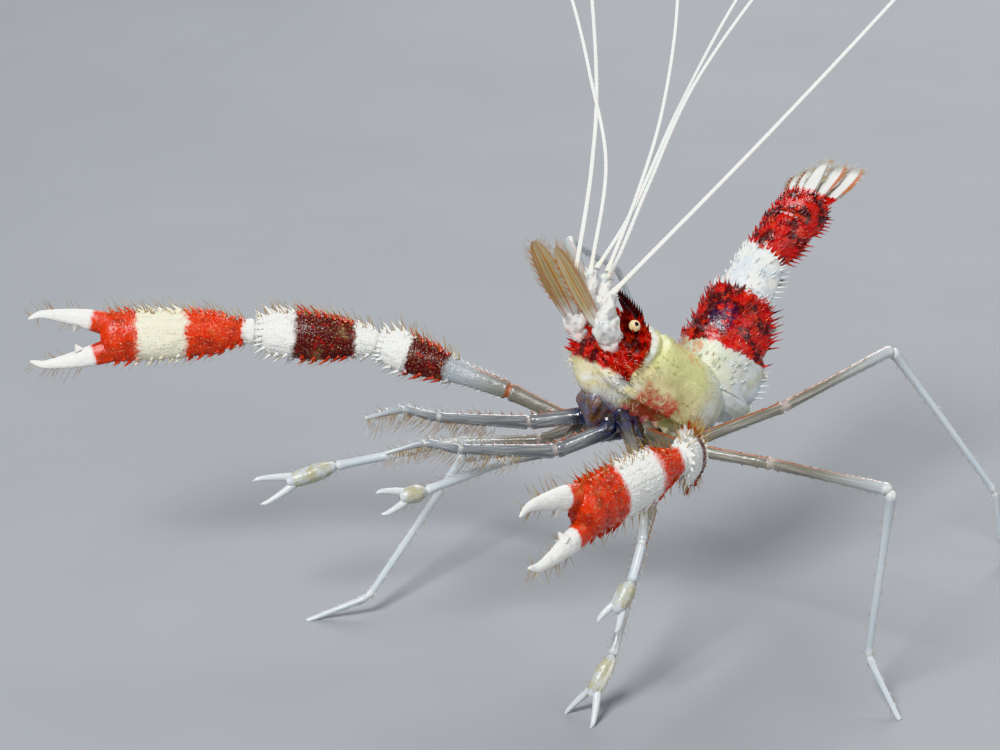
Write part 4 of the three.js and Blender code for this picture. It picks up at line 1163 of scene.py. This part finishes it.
def add_mouthparts(piece):
    """A lump that hangs under the head, with pairs of small jointed feet folded over it."""
    top, bottom = on_body(6.4, 0, -4.2), on_body(3.4, 0, -7.9)

    def mark(part, angle):
        return 5 - 2 * part, np.sin(angle), -5.2 - 2 * part

    lump_outline = [[0, 1.36], [0.5, 1.7], [0.85, 1.36], [0.97, 0.7], [1, 0.3]]
    curved_tube(piece, np.linspace(top, bottom, 30), lump_outline, 24, LEFTWARD, 0.82, mark)
    foot_outline = [[0, 0.5], [0.3, 0.55], [0.5, 0.4], [0.75, 0.42], [1, 0.12]]
    for side in (LEFT, RIGHT):
        for out, start, reach in ((0.5, 0.0, 1.0), (1.0, 0.12, 0.85), (1.5, 0.25, 0.7)):
            begin = top + (bottom - top) * start + LEFTWARD * side * out + FORWARD * 0.9
            close = top + (bottom - top) * reach + LEFTWARD * side * out * 0.5 + FORWARD * 1.2
            knee = (begin + close) / 2 + FORWARD * 1.1 + LEFTWARD * side * 0.5
            foot = quadratic(begin, knee, close, 30)
            curved_tube(piece, foot, foot_outline, 12, LEFTWARD, 0.8, mark)


add_carapace()


def add_eye(word, side, shell):
    centre = on_body(8.2, side * 3.0, 3.5)
    outward = unit(body_direction(0.45, side * 0.85, 0.3))
    first = unit(np.cross(outward, DORSAL))
    second = np.cross(outward, first)
    # The outline from behind the stalk to the middle of the eye: [place along, radius]
    outline = [[-1.15, 0.36], [-0.75, 0.4], [-0.5, 0.5], [-0.3, 0.62]]
    rise = np.radians(np.linspace(-22, 90, 26))
    ball = EYE_RADIUS * 0.92
    along = np.concatenate([[row[0] for row in outline], ball * np.sin(rise)])
    radius = np.concatenate([[row[1] for row in outline], ball * np.maximum(np.cos(rise), 0.01)])
    # The clear lens stands a little proud of its pale ring
    along = along + 0.07 * step(along, 0.42, 0.52)
    angle = np.linspace(0, 2 * math.pi, 36, endpoint=False)
    rings = centre + along[:, None, None] * outward + radius[:, None, None] * (
        np.cos(angle)[:, None] * second + np.sin(angle)[:, None] * first)
    look = np.broadcast_to((along / EYE_RADIUS)[:, None], rings.shape[:2])
    piece = Piece()
    add_grid(piece, rings, rows_of(look, 0, 0))
    piece.make(f"eye_{word}_ball", shell, "eye", [f"eye_{word}"])


eye_paint = eye_shell()
add_eye("left", LEFT, eye_paint)
add_eye("right", RIGHT, eye_paint)


def add_stalk(name, start, bend, end, radius, segments, shell):
    """A feeler stalk of a few lumpy segments, with a ring of small spines at the end of each. It
    leaves the head at start and turns upwards near bend."""
    path = Path(quadratic(start, bend, end, 60))
    cuffs = np.linspace(0, path.length, segments + 1)[1:]
    swell = [[0, 1.1], [0.35, 1.25], [0.7, 0.92], [1, 0.6]]
    phase = random.uniform(0, 2 * math.pi, 3)

    def halves(distance, angle):
        size = radius * smooth(swell, distance / path.length)
        size = size * (1 + 0.09 * np.sin(2 * angle + 1.5 * distance + phase[0])
                       + 0.08 * np.sin(3 * angle - 2.1 * distance + phase[1])
                       + 0.035 * np.sin(7 * angle + 4.3 * distance + phase[2]))
        for cuff in cuffs[:-1]:
            tilted = cuff + 0.25 * np.sin(angle + phase[0])
            size = size * (
                1 + 0.06 * hump(distance, tilted - 0.4, 0.5)
                - 0.11 * hump(distance, tilted, 0.2)
            )
        return size * 0.93, size

    def mark(distance, angle):
        return distance / path.length, np.sin(angle), 0.0

    piece = Piece()
    sweep(piece, path, np.linspace(0, path.length, 90), 32, LEFTWARD, halves, mark)
    for cuff in cuffs:
        count = 9
        turn = random.uniform(0, 2 * math.pi, count)
        place = cuff - random.uniform(0.2, 0.9, count)
        tangent = path.tangent(place)
        first, second = section_axes(tangent, LEFTWARD)
        out = first * np.cos(turn)[:, None] + second * np.sin(turn)[:, None]
        size = np.stack(halves(place, turn)).min(0)
        roots = path.point(place) + out * size[:, None] * 0.95
        lengths = random.uniform(0.35, 0.75, count)
        spikes(piece, roots, out + 1.1 * tangent, lengths, 0.13, (cuff / path.length, 0, 0))
    piece.make(f"{name}_shell", shell, "white_shell", [name])


def add_blade(name, path, face, outline, shell, slot, ribs, outer, fringe):
    """A thin blade with raised ribs. outline holds [part, half width], outer is the sign of its outer
    edge, and fringe is the length of the hairs round its far end."""
    marks = [[part * path.length, half] for part, half in outline]

    def halves(distance, angle):
        raised = sum(hump(np.sin(angle), rib, 0.09) for rib in ribs)
        thinner = step(distance, path.length * 1.06, path.length * 0.7)
        thick = FIN_HALF_THICKNESS * (0.75 + 0.5 * raised) * thinner
        return np.maximum(thick, 0.06), smooth(marks, distance)

    def mark(distance, angle):
        return distance / path.length, np.sin(angle), outer * np.sin(angle)

    def edge_places(part, edge):
        """Points of the middle line, the way out over one edge, the way along and the half width."""
        distance = part * path.length
        tangent = path.tangent(distance)
        out = edge * section_axes(tangent, face)[1]
        return path.point(distance), out, tangent, smooth(marks, distance)[:, None]

    piece, coat = Piece(), Piece()
    closing = path.length * (1 - np.linspace(0.12, 0, 8) ** 2 / 0.12)
    distances = np.concatenate([np.linspace(0, path.length * 0.87, 36), closing])
    sweep(piece, path, distances, 40, face, halves, mark)
    # Small teeth down the outer edge
    if outer:
        part = np.linspace(0.35, 0.9, 8)
        middle, out, tangent, half = edge_places(part, outer)
        spikes(piece, middle + out * half, out + 1.2 * tangent, 0.45, 0.1, rows_of(part, outer, 1))
    piece.make(f"{name}_shell", shell, slot, [name])
    for edge in (1, -1):
        count = 34
        part = np.linspace(0.45, 1.0, count)
        middle, out, tangent, half = edge_places(part, edge)
        outwards = 0.25 + 0.6 * step(part, 1.03, 0.94)[:, None]
        aims = out * outwards + tangent + random.normal(0, 0.05, (count, 3))
        lengths = fringe * random.uniform(0.7, 1.05, count)
        unwrap = rows_of(0.95 * part, 0.5 + 0.3 * edge)
        hairs(coat, middle + out * half * 0.96, aims, lengths, 0.045, rows_of(part, edge, 1), unwrap)
    coat.make(f"{name}_fringe", HAIR_GREY, slot)


WHIP_SHELL = whip_shell()
STALK_SHELL = stalk_shell()
SCALE_SHELL = scale_shell()
SCALE_OUTLINE = [[0, 0.65], [0.2, 1.1], [0.5, 1.3], [0.8, 1.05], [0.94, 0.65], [1, 0.32]]
# The left one is twisted outwards, the right one lies flatter
SCALE_FACES = {"left": body_direction(-0.1, 0.95, 0.3), "right": body_direction(-0.3, -0.75, 0.6)}


def antenna_root(side):
    return on_body(13.3, side * 3.4, 4.9)


def antennule_root(side, out):
    return on_body(13.3, side * (1.28 + out), 6.9 - out)


for word, side in (("left", LEFT), ("right", RIGHT)):
    inner = on_body(8.4, side * 0.9, 2.4), on_body(11.5, side * 1.1, 2.2), on_body(13.4, side * 1.28, 6.9)
    outer = on_body(8.2, side * 1.9, 0.6), on_body(12.0, side * 3.0, 0.7), on_body(13.4, side * 3.4, 5.0)
    add_stalk(f"antennule_stalk_{word}", *inner, 0.85, 3, STALK_SHELL)
    add_stalk(f"antenna_stalk_{word}", *outer, 1.2, 3, STALK_SHELL)
    scale_path = straight(on_body(11.4, side * 2.3, 1.2), on_body(21.8, side * 1.95, 6.0))
    add_blade(f"antenna_scale_{word}", scale_path, SCALE_FACES[word], SCALE_OUTLINE, SCALE_SHELL,
              "clear_shell", (0.26, -0.56), side, 1.2)

WHIPS = [
    ("antenna_whip_left", antenna_root(LEFT), [[23, 26, 39], [21.4, 27, 40], [45, 30, 40]]),
    ("antenna_whip_right", antenna_root(RIGHT),
     [[14.1, 78, 44], [11.7, 85, 47], [30.7, 98, 52], [33.5, 110, 54]]),
    ("antennule_whip_outer_left", antennule_root(LEFT, 0.32),
     [[3.3, -54, 59], [8.1, 33, 63], [12.9, 33, 60], [25, 23, 48], [22, 18, 38]]),
    ("antennule_whip_inner_left", antennule_root(LEFT, -0.32),
     [[9.2, 50, 56], [9.1, 57, 58], [12.9, 74, 59], [17.3, 93, 57], [22, 104, 54]]),
    ("antennule_whip_outer_right", antennule_root(RIGHT, 0.32),
     [[12.3, 75, 57], [9.8, 107, 56], [8.9, 112, 55], [18.8, 119, 51], [22, 125, 47]]),
    ("antennule_whip_inner_right", antennule_root(RIGHT, -0.32),
     [[7, 45, 43], [14.3, 56, 44], [14.7, 49, 45], [18.6, 37, 44], [16, 35, 46]]),
]


def add_whip(name, start, runs):
    """A long feeler of many short rings."""
    path = Path(catmull_rom(joints_of(start, runs)))
    root = FEELER_RADIUS if name.startswith("antenna_") else FEELER_RADIUS * 0.85
    ring_length = 0.55
    outline = [[0, root * 1.6], [0.02, root * 1.1], [0.5, root * 0.85],
               [0.97, FEELER_TIP_RADIUS], [1, 0.06]]

    def halves(distance, angle):
        ringed = 1 + 0.07 * np.cos(distance * 2 * math.pi / ring_length)
        size = smooth(outline, distance / path.length) * ringed
        return size, size

    def mark(distance, angle):
        return distance / path.length, np.sin(angle), 0

    piece = Piece()
    count = int(path.length / (ring_length / 4))
    sweep(piece, path, np.linspace(0, path.length, count), 8, direction(90, 0), halves, mark)
    piece.make(f"{name}_shell", WHIP_SHELL, "white_shell", [name])


for name, start, runs in WHIPS:
    add_whip(name, start, runs)


# Abdomen and tail

ABDOMEN_RUNS = [[2.1, 66, 48], [5.7, 59, 50], [6.4, 57, 46], [5.3, 52, 42], [4.7, 44, 32], [4.7, 59, 20]]
# How far it would run on for one more ring
RUN_PAST_END = 4.5
TAIL_LINE = direction(58, 28)
# [place in whole rings, half width, height above the axis, depth below it]
ABDOMEN_SECTIONS = np.array([
    [0, 0.84, 0.66, 1.05], [0.9, 0.98, 0.86, 1.2],
    [1.1, 0.98, 0.95, 1.22], [1.9, 1.02, 1.1, 1.18],
    [2.1, 0.98, 1.06, 1.1], [2.9, 0.8, 0.84, 0.78],
    [3.1, 0.7, 0.72, 0.64], [3.9, 0.6, 0.62, 0.54],
    [4.1, 0.56, 0.58, 0.5], [4.9, 0.64, 0.62, 0.54],
    [5.1, 0.66, 0.6, 0.54], [5.9, 0.72, 0.58, 0.54], [6, 0.7, 0.55, 0.52],
])

# Each ring: how many spines, how long, and how far round from the back they reach
RING_SPINES = [
    (10, 0.4, 1.2), (48, 0.65, 1.9), (150, 0.95, 2.2), (48, 0.7, 2.2), (100, 0.7, 2.2), (90, 0.6, 2.2),
]


def add_abdomen():
    joints = joints_of(on_body(-8.5, 0, 0.2), ABDOMEN_RUNS)
    per_run = 24
    points = catmull_rom(joints, per_run)
    places = np.arange(len(points)) / per_run
    slopes = unit(np.gradient(points, places, axis=0))
    shell = abdomen_shell()

    def read(rows, place):
        return np.stack([np.interp(place, places, rows[:, axis]) for axis in range(3)], -1)

    def frame_at(place):
        """The middle and the ways left, up and along. Past the last ring it runs straight on."""
        tangent = unit(read(slopes, place))
        first, second = section_axes(tangent, LEFTWARD)
        past_end = tangent * np.maximum(place - len(ABDOMEN_RUNS), 0)[..., None] * RUN_PAST_END
        return read(points, place) + past_end, first, second, tangent

    def skin(place, ring, turn):
        """A point of one ring's plate. turn is 0 on the back, positive to the left."""
        within = place - ring
        lapped = smooth([[0, 0.92], [0.3, 1.0], [0.85, 1.0], [1.0, 1.05], [1.1, 1.0]], within)
        width, height, depth = (smooth(ABDOMEN_SECTIONS[:, [0, column]], place) for column in (1, 2, 3))
        cos, sin = np.cos(turn), np.sin(turn)
        arch = np.clip(np.sin(np.clip(within, 0, 1) * math.pi), 0, 1)
        lobe = hump(np.abs(turn), 2.1, 0.3) * np.sqrt(arch)
        belly = step(np.abs(turn), 2.35, 2.7)
        out = ABDOMEN_HALF_WIDTH * width * lapped * sin * (1 + 0.1 * lobe)
        down = depth * (1 + 0.3 * lobe) * (1 - 0.3 * belly)
        up = ABDOMEN_HALF_WIDTH * np.where(cos > 0, height * lapped, down) * cos
        centre, first, second, _ = frame_at(place)
        return centre + first * out[..., None] + second * up[..., None]

    def out_of(place, ring, turn):
        at = skin(place, ring, turn)
        small = 0.01
        around = skin(place, ring, turn + small) - at
        along = skin(place + small, ring, turn) - at
        return at, unit(np.cross(around, along))

    for ring, (count, size, reach) in enumerate(RING_SPINES):
        piece = Piece()
        rows = np.concatenate([ring + np.linspace(0, 1.0, 40), ring + 1 + np.linspace(0.02, 0.1, 6)])
        around = np.linspace(-math.pi, math.pi, 96, endpoint=False)[::-1]
        place, turn = np.meshgrid(rows, around, indexing="ij")
        shape = skin(place, ring, turn)
        add_grid(piece, shape, rows_of(place, turn / math.pi, 0))

        def grow(place, turn, lengths, radius, lean):
            at, out = out_of(place, ring, turn)
            tangent = frame_at(place)[3]
            marks = rows_of(place, turn / math.pi, 1)
            bend = 0.15 * size * tangent
            spikes(piece, at, out + lean * tangent, lengths, radius, marks, bend=bend)

        place = ring + random.uniform(0.2, 0.98, count)
        turn = random.uniform(-reach, reach, count)
        grow(place, turn, size * random.uniform(0.5, 1.2, count), 0.13, 0.8)
        rim = np.linspace(-reach, reach, 22)
        rim_lengths = size * random.uniform(0.7, 1.1, len(rim))
        grow(np.full(len(rim), ring + 1.0), rim, rim_lengths, 0.13, 1.6)
        for side in (LEFT, RIGHT):
            lobes = ring + np.linspace(0.25, 0.9, 6)
            grow(lobes, np.full(len(lobes), side * 2.15), np.full(len(lobes), 1.6 * size), 0.13, 0.4)
        # The last ring carries none
        if ring < len(RING_SPINES) - 1:
            add_swimmerets(piece, ring, frame_at)
        piece.make(f"abdomen_ring_{ring + 1}_plate", shell, "banded_shell", [f"abdomen_ring_{ring + 1}"])
    return joints[-1]


def add_swimmerets(piece, ring, frame_at):
    """A pair of two-bladed paddles under a ring, trailing towards the tail."""
    place = np.array([ring + 0.5])
    centre, across, up, tangent = (rows[0] for rows in frame_at(place))
    width, depth = (
        ABDOMEN_HALF_WIDTH * smooth(ABDOMEN_SECTIONS[:, [0, column]], place)[0] for column in (1, 3)
    )
    length = 3.4 - 0.3 * ring - (1.0 if ring == 0 else 0)
    outline = [[0, 0.3], [0.3, 0.42], [0.7, 0.75], [0.93, 0.5], [1, 0.2]]
    for side in (LEFT, RIGHT):
        for spread, share in ((0.0, 1.0), (0.22, 0.85)):
            root = centre + across * side * width * 0.45 - up * depth * 0.8
            tip = root + (-up * 0.5 + tangent * 0.8 + across * side * spread) * length * share
            curved_tube(piece, np.linspace(root, tip, 20), outline, 16, tangent * 0.5 + up, 0.32,
                        lambda part, angle: (1, 1, 0))


def add_tail(end):
    shell = fan_shell()
    across, up = (rows[0] for rows in section_axes(TAIL_LINE[None], LEFTWARD))

    def blade(name, sideways, length, splay, lift, outline, side):
        start = end + TAIL_LINE * 0.1 + across * sideways + up * lift
        line = unit(TAIL_LINE + across * math.tan(math.radians(splay)))
        blade_path = straight(start, start + line * (length + 0.3))
        add_blade(name, blade_path, up, outline, shell, "white_shell", (0, 0.45, -0.45), -side, 1.0)

    blade("telson", 0, 7, 0, 0.62, [[0, 1.1], [0.3, 1.25], [0.7, 0.95], [0.93, 0.62], [1, 0.35]], 0)
    for word, side in (("left", LEFT), ("right", RIGHT)):
        blade(f"tail_blade_inner_{word}", side * 1.1, 6.6, side * 8, 0,
              [[0, 0.5], [0.3, 1], [0.65, 1.2], [0.92, 0.85], [1, 0.42]], side)
        blade(f"tail_blade_outer_{word}", side * 2, 6.9, side * 17, -0.62,
              [[0, 0.5], [0.3, 1.2], [0.65, 1.5], [0.92, 1.1], [1, 0.6]], side)


add_tail(add_abdomen())


# Stage, lights and camera. The floor and the lights are in metres and watts

FLOOR_HALF_SIZE = 3.0
LIGHTS_AIM = (0, 0, 0.04)
# [name, place, size, power]
LIGHTS = (
    ("key", (-0.25, -0.4, 0.6), 0.25, 6.0),
    ("fill", (0.6, -0.35, 0.3), 0.5, 1.5),
    ("rim", (0.15, 0.55, 0.45), 0.4, 3.0),
)
# The camera that gives the photo's framing: place in millimetres, lean from straight down in degrees
CAMERA_PLACE = (-9.856, -272.209, 140.710)
CAMERA_LEAN = 68
CAMERA_LENS = 96.92
CAMERA_SENSOR = 36


def add_stage():
    mesh = bpy.data.meshes.new("floor")
    half = FLOOR_HALF_SIZE
    corners = [(-half, -half, 0), (half, -half, 0), (half, half, 0), (-half, half, 0)]
    mesh.from_pydata(corners, [], [(0, 1, 2, 3)])
    floor = bpy.data.objects.new("floor", mesh)
    bpy.context.scene.collection.objects.link(floor)
    p = Paint("floor_paint")
    colour = p.mix(p.noise(40), paint("8f9297"), paint("989b9f"))
    mesh.materials.append(p.finish(colour, p.bump((p.noise(1), 0.01)), roughness=0.75, coat=0.0))

    world = bpy.data.worlds.new("studio")
    bpy.context.scene.world = world
    world.use_nodes = True
    world.node_tree.nodes["Background"].inputs["Color"].default_value = (0.93, 0.96, 1.0, 1)
    world.node_tree.nodes["Background"].inputs["Strength"].default_value = 0.32

    bpy.context.scene.view_settings.view_transform = "Khronos PBR Neutral"
    target = Vector(LIGHTS_AIM)
    for name, place, size, power in LIGHTS:
        data = bpy.data.lights.new(name, "AREA")
        data.size = size
        data.energy = power
        lamp = bpy.data.objects.new(name, data)
        lamp.location = place
        lamp.rotation_euler = (target - Vector(place)).to_track_quat("-Z", "Y").to_euler()
        bpy.context.scene.collection.objects.link(lamp)


def add_camera():
    data = bpy.data.cameras.new("camera")
    data.sensor_width = CAMERA_SENSOR
    data.lens = CAMERA_LENS
    data.clip_start = 0.005
    camera = bpy.data.objects.new("camera", data)
    camera.location = Vector(CAMERA_PLACE) * MM
    camera.rotation_euler = (math.radians(CAMERA_LEAN), 0, 0)
    bpy.context.scene.collection.objects.link(camera)
    bpy.context.scene.camera = camera


add_stage()
add_camera()
